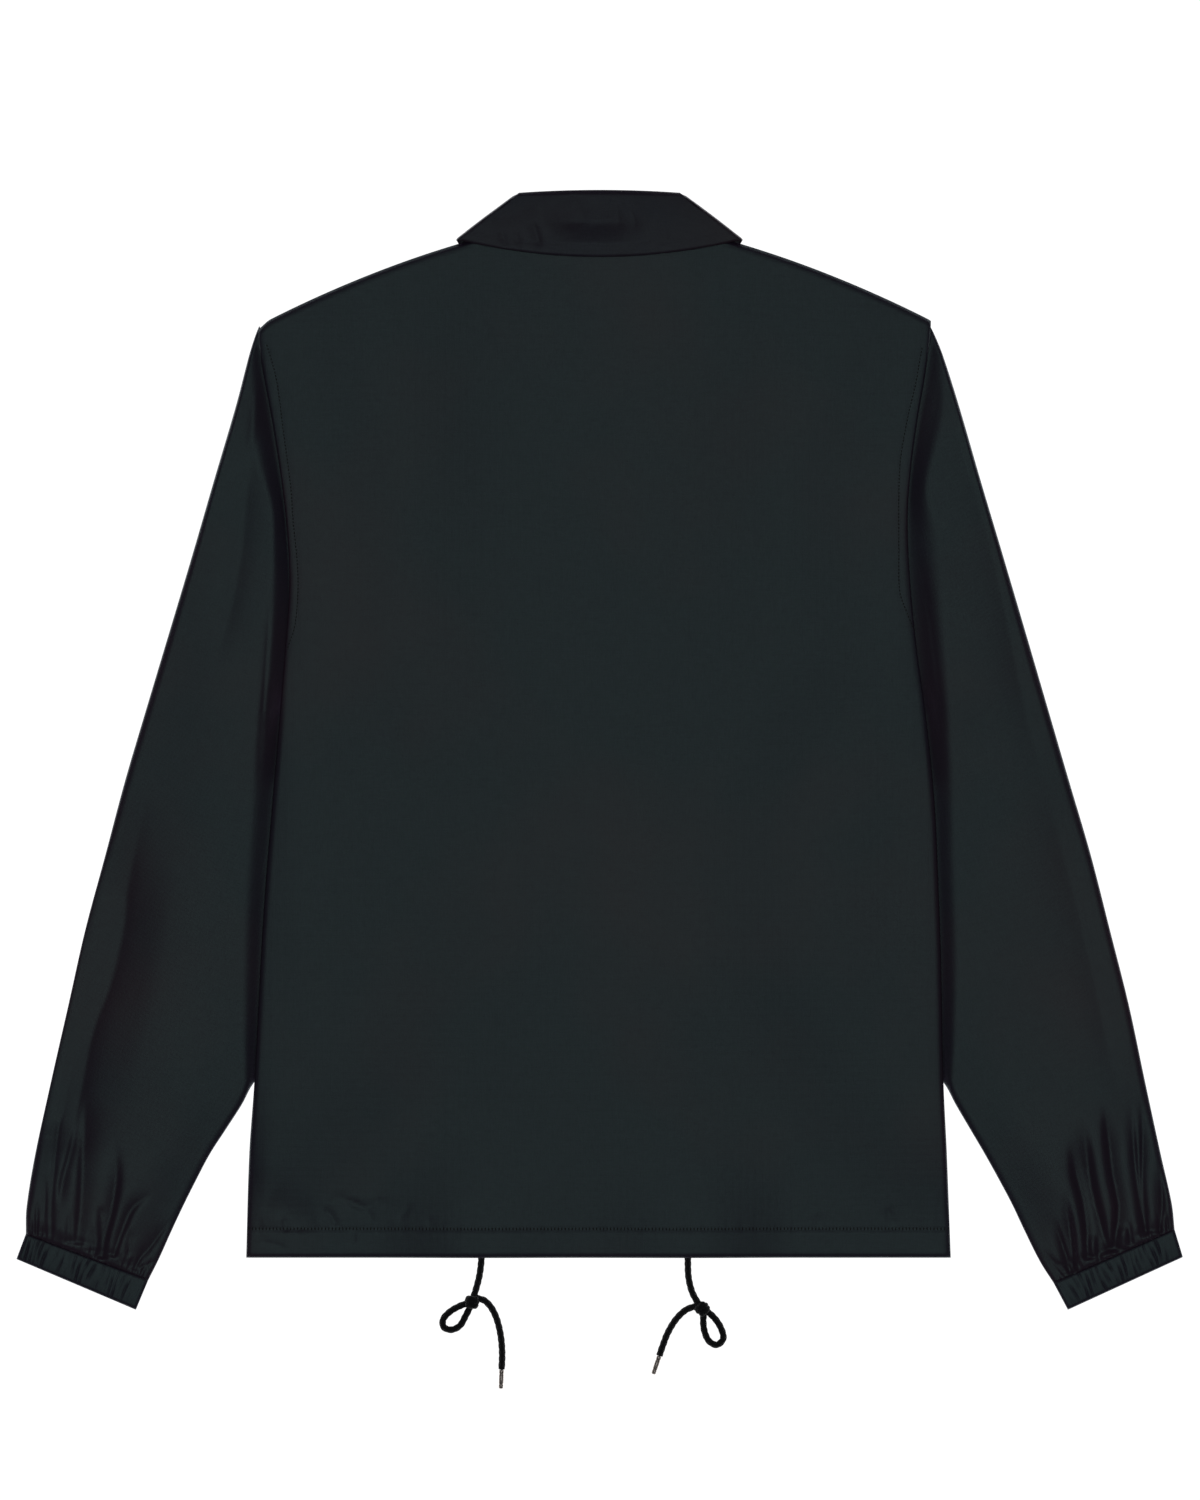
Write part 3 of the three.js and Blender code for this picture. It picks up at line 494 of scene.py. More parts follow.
def grid_faces(rows, columns, loop, turned):
    """Quads of a grid of points. A loop closes each row on itself, and turned swaps the two sides."""
    width = columns if loop else columns - 1
    i, j = np.meshgrid(np.arange(rows - 1), np.arange(width), indexing="ij")
    this, following, right = i * columns, (i + 1) * columns, (j + 1) % columns
    quad = np.stack([this + j, this + right, following + right, following + j], -1).reshape(-1, 4)
    return (quad[:, ::-1] if turned else quad).tolist()


def cloth_piece(name, points, uv, nodes, loop=False, turned=False, material=None):
    """A thin wall of cloth on a grid of points, rows by columns by 3. The points are its outside."""
    rows, columns = points.shape[:2]
    faces = grid_faces(rows, columns, loop, turned)
    piece = new_object(name, points.reshape(-1, 3), faces, material or nylon)
    layer = piece.data.uv_layers.new(name="cloth")
    corners = np.zeros(len(piece.data.loops), int)
    piece.data.loops.foreach_get("vertex_index", corners)
    layer.data.foreach_set("uv", (uv.reshape(-1, 2)[corners] * MM).ravel())
    solidify = piece.modifiers.new("wall", "SOLIDIFY")
    solidify.thickness = WALL * MM
    solidify.offset = -1.0
    keep_result(piece)
    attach(piece, "root")
    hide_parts(*nodes)
    print(name, "faces:", len(piece.data.polygons))
    return piece


def spaced(count, tight):
    """Shares from 0 to 1 that lie closer together towards both ends."""
    f = np.linspace(0, 1, count)
    return f - tight * np.sin(2 * math.pi * f) / (2 * math.pi)


# %% [markdown]
# Small unevenness is what tells cloth from sheet metal. This helper adds waves of several directions
# and lengths with fixed phases. It gives broad, shallow swells, the same in every run. A second one
# rounds the cloth over where it folds.

# %% Helpers for slow swells and rounded edges
SWELL_WAVES = 7


def rounded(share):
    """0 to 1 on a quarter circle, which brings an edge round to its fold."""
    return 1 - np.sqrt(1 - share**2 * 0.98)


def swell(x, y, length, high, seed):
    """Slow waves of about one length, no higher than the given height."""
    rng = np.random.default_rng(seed)
    total = np.zeros(np.broadcast(x, y).shape)
    for _ in range(SWELL_WAVES):
        turn = rng.uniform(0, math.pi)
        size = length * rng.uniform(0.7, 1.6)
        along = x * math.cos(turn) + y * math.sin(turn)
        total += np.sin(2 * math.pi * along / size + rng.uniform(0, 2 * math.pi))
    return high * total / SWELL_WAVES


# %% [markdown]
# The back is one wide panel. Its folds are few: short creases beside the hem's casing, where the
# stitching draws the cloth up, a hollow and a swell at the lower left corner, and long soft ones that
# run down from the collar. At the sides it rolls down to the fronts. The hem's casing stands a little
# proud of the panel, with a groove at its stitch line. A simulation would drape the panel softly but
# wouldn't put its creases where the photograph has them, so they are listed one by one.

# %% Folds of the back
BACK_FOLDS = (
    {"path": ((-244, -215), (-245, -270), (-244, -324)), "wide": (4, 13), "high": -1.4, "shape": (2, 1.6),
     "fade": (0.5, 0.3)},
    {"path": ((-229, -262), (-228, -296), (-226, -332)), "wide": (12, 20), "high": 0.55,
     "fade": (0.4, 0.2)},
    {"path": ((-234, -312), (-216, -318), (-194, -328)), "wide": (8, 13), "high": -0.9, "shape": (2, 2),
     "fade": (0.3, 0.3)},
    {"path": ((-188, -310.6), (-179, -308), (-175.6, -310.2), (-167.5, -312.9), (-158.4, -314),
              (-151.5, -310.6), (-142.5, -315)), "wide": (1.6, 2.2), "high": -0.42, "fade": (0.15, 0.2)},
    {"path": ((-176, -309), (-163, -316.5), (-153.7, -326.7)), "wide": (1.6, 2.2), "high": -0.5},
    {"path": ((-191.7, -315), (-187, -319), (-181.3, -327.5)), "wide": (1.6, 2.4), "high": -0.6,
     "fade": (0.3, 0.1)},
    {"path": ((-129.6, -310.6), (-139.9, -325.3)), "wide": 2.0, "high": -0.35},
    {"path": ((-217, -321), (-216.3, -333)), "wide": 1.6, "high": -0.45},
    {"path": ((-171, -330), (-170.1, -341)), "wide": 1.6, "high": -0.45},
    {"path": ((-236, -338), (-226, -340), (-214, -344)), "wide": 2.4, "high": -0.3},
    {"path": ((-120, -320), (-114, -330)), "wide": 2.0, "high": -0.3},
    {"path": ((28, -321), (31, -331)), "wide": 2.0, "high": -0.25},
    {"path": ((150, -319), (154, -331)), "wide": 2.2, "high": -0.35},
    {"path": ((198, -314), (204, -331)), "wide": 2.6, "high": -0.45},
    {"path": ((-60, 334), (-74, 250), (-82, 120), (-84, -40)), "wide": 34, "high": 0.4, "fade": (0.2, 0.5)},
    {"path": ((176, 80), (166, -40), (160, -140), (168, -230)), "wide": (60, 34), "high": 1.2,
     "fade": (0.4, 0.4)},
    {"path": ((130, 322), (150, 220), (158, 100)), "wide": 30, "high": 0.5, "fade": (0.3, 0.5)},
    {"path": ((-214, 60), (-206, -80), (-208, -230)), "wide": 16, "high": 0.5, "fade": (0.4, 0.4)},
)


# Lines of stitches inside the armholes. Columns: distance from the middle, height.
ARMHOLE_LEFT = (
    (-229.4, 280), (-223.2, 258), (-218.4, 223), (-212.9, 181), (-211.5, 160), (-208, 120), (-210, 88),
    (-215, 72),
)
ARMHOLE_RIGHT = (
    (222.5, 278), (217.7, 251.5), (212.9, 231.5), (207.3, 197), (206.6, 136), (207.3, 110), (212.9, 94),
    (217, 84),
)


def stitch_puckers(distance, along, pitch, high, seed):
    """Short ripples across a line of stitches, uneven along it."""
    rng = np.random.default_rng(seed)
    total = 0
    for share in (1.0, 1.37, 0.61):
        total = total + np.sin(2 * math.pi * along / (pitch * share) + rng.uniform(0, 6))
    return high * total / 3 * np.exp(-((distance / 5.0) ** 2))


EDGE_LOW = 1.7
BACK_SWELL, BACK_SWELL_LENGTH = 0.35, 190
CASING_HIGH = 0.35
HEM_GROOVE, HEM_GROOVE_WIDE = 0.1, 1.4
ARMHOLE_GROOVE, ARMHOLE_GROOVE_WIDE = 0.08, 1.5
PUCKER_HIGH, PUCKER_PITCH = 0.12, 9
EDGE_ROLL, EDGE_ROLL_WIDE = 1.5, 4.0
EDGE_FALL, EDGE_FALL_WIDE = 0.45, 14


def back_top(x, y):
    """Height of the outside of the back."""
    up = y - HEM
    z = back_under(x, y) + CLOTH - 0.2
    slow = swell(x, y, BACK_SWELL_LENGTH, BACK_SWELL, 3)
    z = z + fold_height(BACK_FOLDS, x, y) + slow * smoothstep(0, 40, up)
    casing = CASING_HIGH * smoothstep(0, 4, up) * (1 - smoothstep(HEM_DEPTH - 4, HEM_DEPTH, up))
    from_stitches = up - HEM_DEPTH
    groove = HEM_GROOVE * np.exp(-((from_stitches / HEM_GROOVE_WIDE) ** 2))
    z = z + casing - groove + stitch_puckers(np.abs(from_stitches), x, PUCKER_PITCH, PUCKER_HIGH, 5)
    for armhole in (ARMHOLE_LEFT, ARMHOLE_RIGHT):
        gap, _ = beside_path(np.array(armhole), x, y)
        z = z - ARMHOLE_GROOVE * np.exp(-((gap / ARMHOLE_GROOVE_WIDE) ** 2))
    for side in (-1, 1):
        inset = edge(side, y) - side * x
        roll = np.clip(1 - inset / EDGE_ROLL_WIDE, 0, 1)
        z = z - EDGE_ROLL * rounded(roll) * (1 - 0.6 * smoothstep(8, 38, y))
        z = z - EDGE_FALL * np.clip(1 - inset / EDGE_FALL_WIDE, 0, 1) ** 2
    down = top_edge(x) - y
    z = z - 1.0 * np.clip(1 - down / 2.5, 0, 1) ** 2 * smoothstep(NECK_HALF, NECK_HALF + 16, np.abs(x))
    return np.maximum(z, EDGE_LOW) - 0.8 * np.clip(1 - up / 2.5, 0, 1) ** 2


# %% The back
BACK_ROWS, BACK_COLUMNS = 156, 250
# Rows are close at the hem. Columns: share of the rows, share of the height.
ROW_SHARES = ((0, 0), (0.26, 0.075), (0.42, 0.25), (0.8, 0.85), (1, 1))


def panel_grid(rows, columns):
    """The plan of the back, from the hem to the neckline and the shoulder seams."""
    v = through(ROW_SHARES, np.linspace(0, 1, rows))[:, None]
    u = spaced(columns, 0.35)[None, :]
    level = HEM + v * (TIP - HEM)
    left, right = -edge(-1, level), edge(1, level)
    x = left + (right - left) * u
    y = HEM + v * (top_edge(x) - HEM)
    return x, y


back_x, back_y = panel_grid(BACK_ROWS, BACK_COLUMNS)
back_points = np.stack([back_x, back_y, back_top(back_x, back_y)], -1)
back = cloth_piece("back_cloth", back_points, back_points[..., :2], ["back"])

# %% [markdown]
# The two fronts lie under the back with their outside on the floor, so they are almost flat. The left
# one laps over the right one down the middle. Their neckline is cut lower than that of the back. They
# get a few soft creases of their own, as shallow as the floor lets them be.

# %% The fronts
FRONT_ROWS = 120
FRONT_FOLDS = (
    {"path": ((40, -120), (70, -10), (90, 120)), "wide": 14, "high": 0.35},
    {"path": ((120, -280), (130, -180), (128, -60)), "wide": 12, "high": 0.3},
    {"path": ((180, 60), (150, 120), (110, 180)), "wide": 10, "high": 0.4},
    {"path": ((60, 220), (100, 200), (150, 205)), "wide": 9, "high": 0.35},
    {"path": ((30, -318), (34, -330)), "wide": 3, "high": 0.3},
    {"path": ((110, -316), (117, -330)), "wide": 3, "high": 0.3},
    {"path": ((196, -314), (200, -330)), "wide": 3, "high": 0.3},
)


def front_top_edge(x):
    a = np.minimum(np.abs(x) / NECK_HALF, 1)
    neck = NECK_TOP - FRONT_NECK_DROP * np.sqrt(1 - a**2)
    return np.where(np.abs(x) < NECK_HALF, neck, top_edge(x) - 1.6)


def front_cloth(name, side, under, node):
    v = spaced(FRONT_ROWS, 0.5)[:, None]
    beside_leaf = (np.linspace(0, 0.3, 22)[:-1], np.linspace(0.3, 0.42, 22)[:-1])
    u = np.concatenate(beside_leaf + (np.linspace(0.42, 1, 28),))
    level = HEM + v * (TIP - HEM)
    outer = edge(side, level) - 1.8 - trim(level)
    across = -PLACKET + (outer + PLACKET) * u[None, :]
    x = side * across
    y = HEM + v * (front_top_edge(x) - HEM)
    lift = fold_height(FRONT_FOLDS, across, y)
    z = under(x, y) + np.maximum(lift, 0) + 0.1
    roll = np.clip(1 - (outer - across) / 4.0, 0, 1) ** 2
    points = np.stack([x, y, z + 0.6 * roll], -1)
    piece = cloth_piece(name, points, points[..., :2], [node], turned=side > 0)
    return piece


front_left = front_cloth("front_left_cloth", -1, front_under, "front_left")
front_right = front_cloth("front_right_cloth", 1, right_front_under, "front_right")

# %% [markdown]
# Each sleeve is a tube pressed flat. Its inner fold runs under the body from the underarm and comes out
# above the hem, and its outer fold makes the jacket's outline. The cloth puffs up between the two folds
# and is drawn together at the cuff, so the gathers are deepest there and fade out up the arm.

# %% Outline of the sleeves
# Columns: distance from the middle, height.
HIDDEN_FOLD = (
    (214, 66), (216, 44), (217.5, 24), (193, -6), (172, -34), (159, -62), (156, -93), (163, -126),
    (179, -160), (205, -195),
)
INNER_LEFT = HIDDEN_FOLD + (
    (238, -228), (247, -244), (258, -261), (269, -278), (278.5, -296), (287, -313), (295, -330),
    (304, -350), (311.5, -365),
)
INNER_RIGHT = HIDDEN_FOLD + (
    (237, -228), (246, -244), (256, -261), (266, -278), (276, -296), (285, -313), (293, -330),
    (304, -352), (313.5, -367),
)
OUTER_LEFT = (
    (235, 293.5), (237.6, 287), (241.8, 273.6), (250.8, 239), (266, 187.3), (281, 135.6), (296.4, 84),
    (312, 32), (327.4, -20), (341, -71), (355, -123), (366.7, -175), (378.5, -227), (389.5, -278),
    (395.5, -315), (396, -333),
)
OUTER_RIGHT = (
    (228.4, 293.5), (231.6, 287), (237, 273.6), (248, 239), (263, 187.3), (278.4, 135.6), (293.6, 84),
    (308.8, 32), (324, -20), (339, -71), (352.3, -123), (365.4, -175), (376.4, -227), (387.4, -278),
    (395, -312), (397, -330),
)
CUFF_LEFT = ((320, -385.4), (402.5, -350.4))
CUFF_RIGHT = ((323.3, -385.4), (402.7, -349))

# %% Folds of the left sleeve
# Two widths, or two shapes, are those towards the body and towards the outer fold.
LEFT_SLEEVE_FOLDS = (
    {"path": ((308.5, -18), (320, -66), (325.5, -94), (330, -124), (339, -163), (349.5, -193),
              (356, -227), (362, -258), (366, -290)),
     "wide": (17, 42), "high": -4.3, "shape": (1.0, 2.6), "fade": (0.37, 0.14)},
    {"path": ((288, -60), (298, -130), (312, -200), (330, -262)), "wide": (40, 16), "high": 0.9},
    {"path": ((351, -160), (359, -190), (366, -212), (371, -240), (375, -275), (378, -310), (378.5, -336)),
     "wide": (2.0, 2.0), "high": -0.7, "fade": (0.3, 0.04)},
    {"path": ((354, -232), (355.5, -252), (356.5, -274), (358, -311), (361, -342)), "wide": (9, 3),
     "high": -2.0, "fade": (0.35, 0.04)},
    {"path": ((359.5, -254), (365, -277), (370.5, -298), (372, -318)), "wide": (4.4, 2.2), "high": -1.2,
     "shape": (1.3, 2)},
    {"path": ((382, -290), (383, -322), (384, -334)), "wide": (2.2, 3.6), "high": -0.9,
     "fade": (0.5, 0.04)},
    {"path": ((388, -308), (388.5, -326), (389, -334)), "wide": 2.0, "high": -0.8, "fade": (0.5, 0.04)},
    {"path": ((333.5, -266), (332.8, -294), (336, -316), (341, -337), (343.5, -352)), "wide": (2.2, 6.5),
     "high": -2.4, "fade": (0.5, 0.04)},
    {"path": ((345, -312), (344, -322), (344, -350)), "wide": (3.8, 2.2), "high": -1.0,
     "fade": (0.2, 0.04)},
    {"path": ((307, -303), (321.7, -315), (328, -328), (332.2, -339), (336, -350)), "wide": (2.0, 5.5),
     "high": -1.9, "fade": (0.45, 0.05)},
    {"path": ((323, -328), (324.5, -336), (325, -350)), "wide": 2.8, "high": -0.8, "fade": (0.4, 0.2)},
    {"path": ((294, -320), (309, -341), (317.5, -351), (322, -359)), "wide": (2.0, 4.2), "high": -1.5,
     "fade": (0.4, 0.05)},
    {"path": ((303, -350), (320, -358)), "wide": 1.8, "high": -1.1, "fade": (0.5, 0.1)},
    {"path": ((366, -314), (366.5, -340)), "wide": 2.2, "high": -0.9, "fade": (0.6, 0.04)},
    {"path": ((350, -326), (351, -346)), "wide": 2.2, "high": -0.9, "fade": (0.6, 0.04)},
    {"path": ((235, 217), (243, 182), (247, 139), (255, 96), (267, 53)), "wide": (9, 14), "high": -1.3},
    {"path": ((246, 187), (262, 80), (268, -34), (272, -110)), "wide": 24, "high": 0.5},
    {"path": ((233, 262), (238, 232), (241, 204)), "wide": 3, "high": 0.5},
    {"path": ((226, 120), (230, 60), (234, 0), (236, -40)), "wide": (1.8, 2.6), "high": -0.6},
)

# %% Folds of the right sleeve
RIGHT_SLEEVE_FOLDS = (
    {"path": ((325, -266), (328, -290), (332.4, -307), (335.6, -327), (337, -352)), "wide": (2.4, 5.5),
     "high": -2.8, "fade": (0.4, 0.04)},
    {"path": ((334, -252), (337, -280), (340, -301), (349, -337), (352.5, -347)), "wide": (6.5, 2.6),
     "high": -3.0, "fade": (0.4, 0.04)},
    {"path": ((348, -240), (351, -270), (353.6, -292), (357.8, -314), (356.7, -328), (354, -347)),
     "wide": (2.4, 9.0), "high": -3.2, "fade": (0.35, 0.04)},
    {"path": ((367, -240), (369, -275), (371.5, -301), (377, -336)), "wide": (4.2, 2.2), "high": -2.1,
     "fade": (0.45, 0.04)},
    {"path": ((374, -236), (374.7, -270), (374.7, -301), (378, -334)), "wide": (2.0, 4.0), "high": -1.8,
     "fade": (0.45, 0.04)},
    {"path": ((384.5, -280), (388.4, -307), (386.5, -333)), "wide": (5.0, 2.6), "high": -1.8,
     "fade": (0.55, 0.04)},
    {"path": ((321, -302), (326, -339), (327.5, -361)), "wide": (4.8, 2.2), "high": -2.3,
     "fade": (0.5, 0.04)},
    {"path": ((313, -320), (322.9, -351), (325.5, -363)), "wide": (3.8, 2.0), "high": -1.8,
     "fade": (0.5, 0.04)},
    {"path": ((306, -343), (321, -362)), "wide": (3.2, 1.8), "high": -1.4, "fade": (0.6, 0.1)},
    {"path": ((314, -352), (327, -358)), "wide": 1.8, "high": -1.0, "fade": (0.5, 0.1)},
    {"path": ((343, -330), (345, -353)), "wide": 2.2, "high": -1.5, "fade": (0.5, 0.04)},
    {"path": ((365, -322), (366.5, -341)), "wide": 2.1, "high": -1.4, "fade": (0.5, 0.04)},
    {"path": ((391, -316), (392, -331)), "wide": 2.0, "high": -0.9, "fade": (0.6, 0.04)},
    {"path": ((340.5, -332), (341, -349)), "wide": 3.6, "high": 1.0, "fade": (0.4, 0.1)},
    {"path": ((361, -326), (361.5, -343)), "wide": 3.4, "high": 1.0, "fade": (0.4, 0.1)},
    {"path": ((238, 251), (251, 202), (265, 160), (282, 85), (298, 10), (320, -61)), "wide": (10, 8),
     "high": -0.6, "fade": (0.3, 0.4)},
    {"path": ((306, -20), (328, -100), (341, -155), (352, -210), (360, -250)), "wide": (12, 9),
     "high": -0.9},
    {"path": ((262, 150), (276, 60), (286, -40), (300, -140)), "wide": 26, "high": 0.5},
    {"path": ((229, 150), (236, 100), (243, 50), (249, 0)), "wide": (12, 34), "high": 1.1},
    {"path": ((221, 140), (227, 96), (233, 50), (236, 10)), "wide": (1.6, 2.2), "high": -0.2},
    {"path": ((231, 268), (229.5, 240), (225, 206), (220, 184)), "wide": (1.6, 2.6), "high": -0.45},
    {"path": ((233.5, 262), (233, 236), (229, 206)), "wide": (1.6, 2.2), "high": -0.3},
)

# %% How steeply the sleeves rise beside the body
# Columns: height, distance over which the cloth comes up from under the body's edge.
RISE_LEFT = (
    (-228, 6), (-200, 9), (-130, 13), (-60, 15), (0, 15), (60, 15), (100, 14), (140, 11), (170, 9),
    (200, 15), (240, 13), (290, 7),
)
RISE_RIGHT = (
    (-228, 6), (-200, 9), (-130, 12), (-60, 13), (0, 16), (50, 20), (100, 24), (150, 23), (180, 13),
    (230, 17), (296, 9),
)

# %% [markdown]
# One function gives the height of a sleeve's upper layer. It adds the puff, the folds from the tables
# and, close to the cuff, the small tucks that the elastic draws. The same tucks run on through the cuff,
# so their wave is a function of its own.

# %% Helper for the elastic's tucks
TUCKS = 21


def tuck_wave(across, seed):
    """-1 in the valleys to 1 on the ridges of the tucks, unevenly spaced across a cuff."""
    rng = np.random.default_rng(seed)
    drift = 0
    for k in (1, 2, 3, 5):
        high = rng.uniform(-0.5, 0.5)
        drift = drift + high * np.sin(2 * math.pi * k * across + rng.uniform(0, 6)) / k
    phase = TUCKS * across + 1.3 * drift
    return 2 * np.abs(np.sin(math.pi * phase)) ** 0.55 - 1


def tuck_strength(across, seed):
    """How strongly each tuck stands out, 0.5 to 1."""
    rng = np.random.default_rng(seed + 50)
    wave = sum(np.sin(2 * math.pi * k * across + rng.uniform(0, 6)) for k in (2, 3, 7, 11))
    return 0.65 + 0.35 * np.clip(wave / 1.8, -1, 1)


# %% The sleeves
# The rings of a sleeve fan out from the underarm. Columns: share of the inner fold, of the outer.
FAN = ((0, 0), (0.04, 0.2), (0.085, 0.38), (0.3, 0.49), (0.685, 0.77), (1, 1))
# The head is the top of the sleeve, which lies over the edge of the front.
HEAD_BASE = 1.6
HEAD_TOP = 1.4
HEAD_BOW = 13.0
# How high the upper layer stands off the lower one along the arm and near the cuff, and what share of
# that is left beside the outer and the inner fold.
PUFF = 3.4
CUFF_PUFF = 4.4
OUTER_PUFF = 0.65
INNER_PUFF = 0.15
# The cloth dips a little where it comes out from under the body.
EDGE_DIP = 1.3
SLEEVE_SWELL, SLEEVE_SWELL_LENGTH = 0.35, 130
TUCK_HIGH, TUCK_HIGH_BELOW = 0.6, 0.35
# The cloth map runs down the arm, in degrees from straight down, and starts elsewhere on the cloth.
SLEEVE_LEAN = 14.0
SLEEVE_DYE = 900.0
# Rings near the shoulder, down the arm and near the cuff, and points over and under each ring.
HEAD_RINGS, ARM_RINGS, CUFF_RINGS = 60, 110, 68
SLEEVE_TOP, SLEEVE_LOW = 96, 40


def sleeve_cloth(name, side, inner, outer, folds, rise, seed, node):
    """A flattened tube between its inner and outer fold. All of it is worked out on the right side."""
    t = np.concatenate([np.linspace(0, 0.09, HEAD_RINGS)[:-1], np.linspace(0.09, 0.85, ARM_RINGS)[:-1],
                        np.linspace(0.85, 1, CUFF_RINGS)])
    inner_at, inner_length = path_through(inner, t)
    outer_at, outer_length = path_through(outer, through(FAN, t))
    from_x, from_y = inner_at[:, 0:1], inner_at[:, 1:2]
    to_x, to_y = outer_at[:, 0:1], outer_at[:, 1:2]
    width = np.hypot(to_x - from_x, to_y - from_y)
    up = (1 - t[:, None]) * inner_length
    bow = HEAD_BOW * (1 - np.clip(t[:, None] / 0.03, 0, 1)) ** 2
    body = LEFT_EDGE if side < 0 else RIGHT_EDGE

    def plan(a):
        x = from_x + (to_x - from_x) * a - bow * 4 * a * (1 - a)
        return x, from_y + (to_y - from_y) * a + 0 * x

    def head_at(x, y):
        """1 where the sleeve lies over the edge of the front, falling to 0 beside it."""
        beside = x - through(body, np.clip(y, HEM, TIP)) + trim(y)
        return (1 - smoothstep(5, 30, beside)) * smoothstep(28, 58, y)

    a = spaced(SLEEVE_TOP, 0.5)[None, :]
    x, y = plan(a)
    free = x - through(body, np.clip(y, HEM, TIP))
    to_outer, _ = beside_path(path_through(outer, np.linspace(0, 1, 60))[0], x, y)
    to_outer = np.abs(to_outer)
    seen = np.maximum(free + to_outer, 1)
    fall = (1 - OUTER_PUFF) * smoothstep(24, 120, seen)
    towards_outer = 1 - fall * (1 - np.clip(to_outer / (0.8 * seen), 0, 1)) ** 2
    rise_share = np.clip(free / through(rise, y), 0, 1)
    coming_up = 0.5 * smoothstep(0, 1, rise_share) + 0.5 * (1 - (1 - rise_share) ** 2)
    clear = coming_up * towards_outer * smoothstep(-6, 36, seen)
    near_cuff = 1 - smoothstep(30, 190, up)
    by_inner = INNER_PUFF + (1 - INNER_PUFF) * smoothstep(0, 40, a * width)
    by_outer = OUTER_PUFF + (1 - OUTER_PUFF) * smoothstep(0, 32, (1 - a) * width)
    beside_folds = by_inner * by_outer
    pinch = 1 - 0.45 * (1 - smoothstep(0, 14, up)) - 0.2 * (1 - smoothstep(0, 2.5, up))
    puff = PUFF * clear + (CUFF_PUFF * beside_folds * pinch - PUFF * clear) * near_cuff
    shown = smoothstep(0, 12, free)
    relief = fold_height(folds, x, y) + swell(x, y, SLEEVE_SWELL_LENGTH, SLEEVE_SWELL, seed)
    tucks = TUCK_HIGH * tuck_wave(a, seed) * tuck_strength(a, seed) * np.exp(-((up / 10) ** 1.5))
    crease = relief * np.minimum(1, 0.25 + puff / 2.6) * shown + tucks
    folded = np.minimum(a, 1 - a) * width
    roll = np.clip(1 - folded / 5.5, 0, 1)
    in_sight = smoothstep(0, 16, free)
    head = HEAD_TOP * ((1 - in_sight) * smoothstep(28, 58, y) + in_sight * smoothstep(-70, 70, y))
    dip = EDGE_DIP * np.exp(-((free / (0.45 * through(rise, y))) ** 2)) * smoothstep(-30, -10, y)
    level = np.maximum(SLEEVE_FLAT - 0.15 + puff + crease, 1.5) + head - dip
    z = level - (0.3 + 0.4 * level) * rounded(roll)
    top = np.stack([side * x, y, z], -1)

    a_low = spaced(SLEEVE_LOW, 0.5)[None, ::-1]
    x, y = plan(a_low)
    folded = np.minimum(a_low, 1 - a_low) * width
    roll = np.clip(1 - folded / 4.5, 0, 1)
    tucks = TUCK_HIGH_BELOW * (1 + tuck_wave(a_low, seed + 1)) * np.exp(-((up / 11) ** 1.5))
    z = 0.15 + HEAD_BASE * head_at(x, y) + 1.1 * rounded(roll) + tucks
    low = np.stack([side * x, y, z], -1)

    points = np.concatenate([top, low[:, 1:-1]], axis=1)
    lean_x, lean_y = math.sin(math.radians(SLEEVE_LEAN)), math.cos(math.radians(SLEEVE_LEAN))
    out_x, out_y = side * points[..., 0], points[..., 1]
    uv = np.stack([out_x * lean_y + out_y * lean_x, out_y * lean_y - out_x * lean_x + SLEEVE_DYE], -1)
    piece = cloth_piece(name, points, uv, [node], loop=True, turned=side > 0)
    print("seam to cuff along the folds:", round(inner_length), round(outer_length))
    return piece


sleeve_left = sleeve_cloth(
    "sleeve_left_cloth", -1, INNER_LEFT, OUTER_LEFT, LEFT_SLEEVE_FOLDS, RISE_LEFT, 11, "sleeve_left",
)
sleeve_right = sleeve_cloth(
    "sleeve_right_cloth", 1, INNER_RIGHT, OUTER_RIGHT, RIGHT_SLEEVE_FOLDS, RISE_RIGHT, 12, "sleeve_right",
)

# %% [markdown]
# A cuff is a casing with elastic in it. The elastic is shorter than the cloth round it, so the cloth
# stands up in small ribs that run from the seam to the end. They are sharp in the valleys, where
# the elastic holds them, and round on the ridges.

# %% The cuffs
CUFF_ROWS, CUFF_TOP, CUFF_LOW = 26, 330, 120
# How far the cuff reaches under the sleeve's end.
CUFF_TUCKED = 0.7
# Level and rib height of the upper and the lower layer.
CUFF_LEVEL, CUFF_RIB = 3.5, 0.78
CUFF_LEVEL_BELOW, CUFF_RIB_BELOW = 0.65, 0.5
# Share of the width from where one end of the cuff is almost smooth.
PLAIN_FROM = (0.84, 0.92)


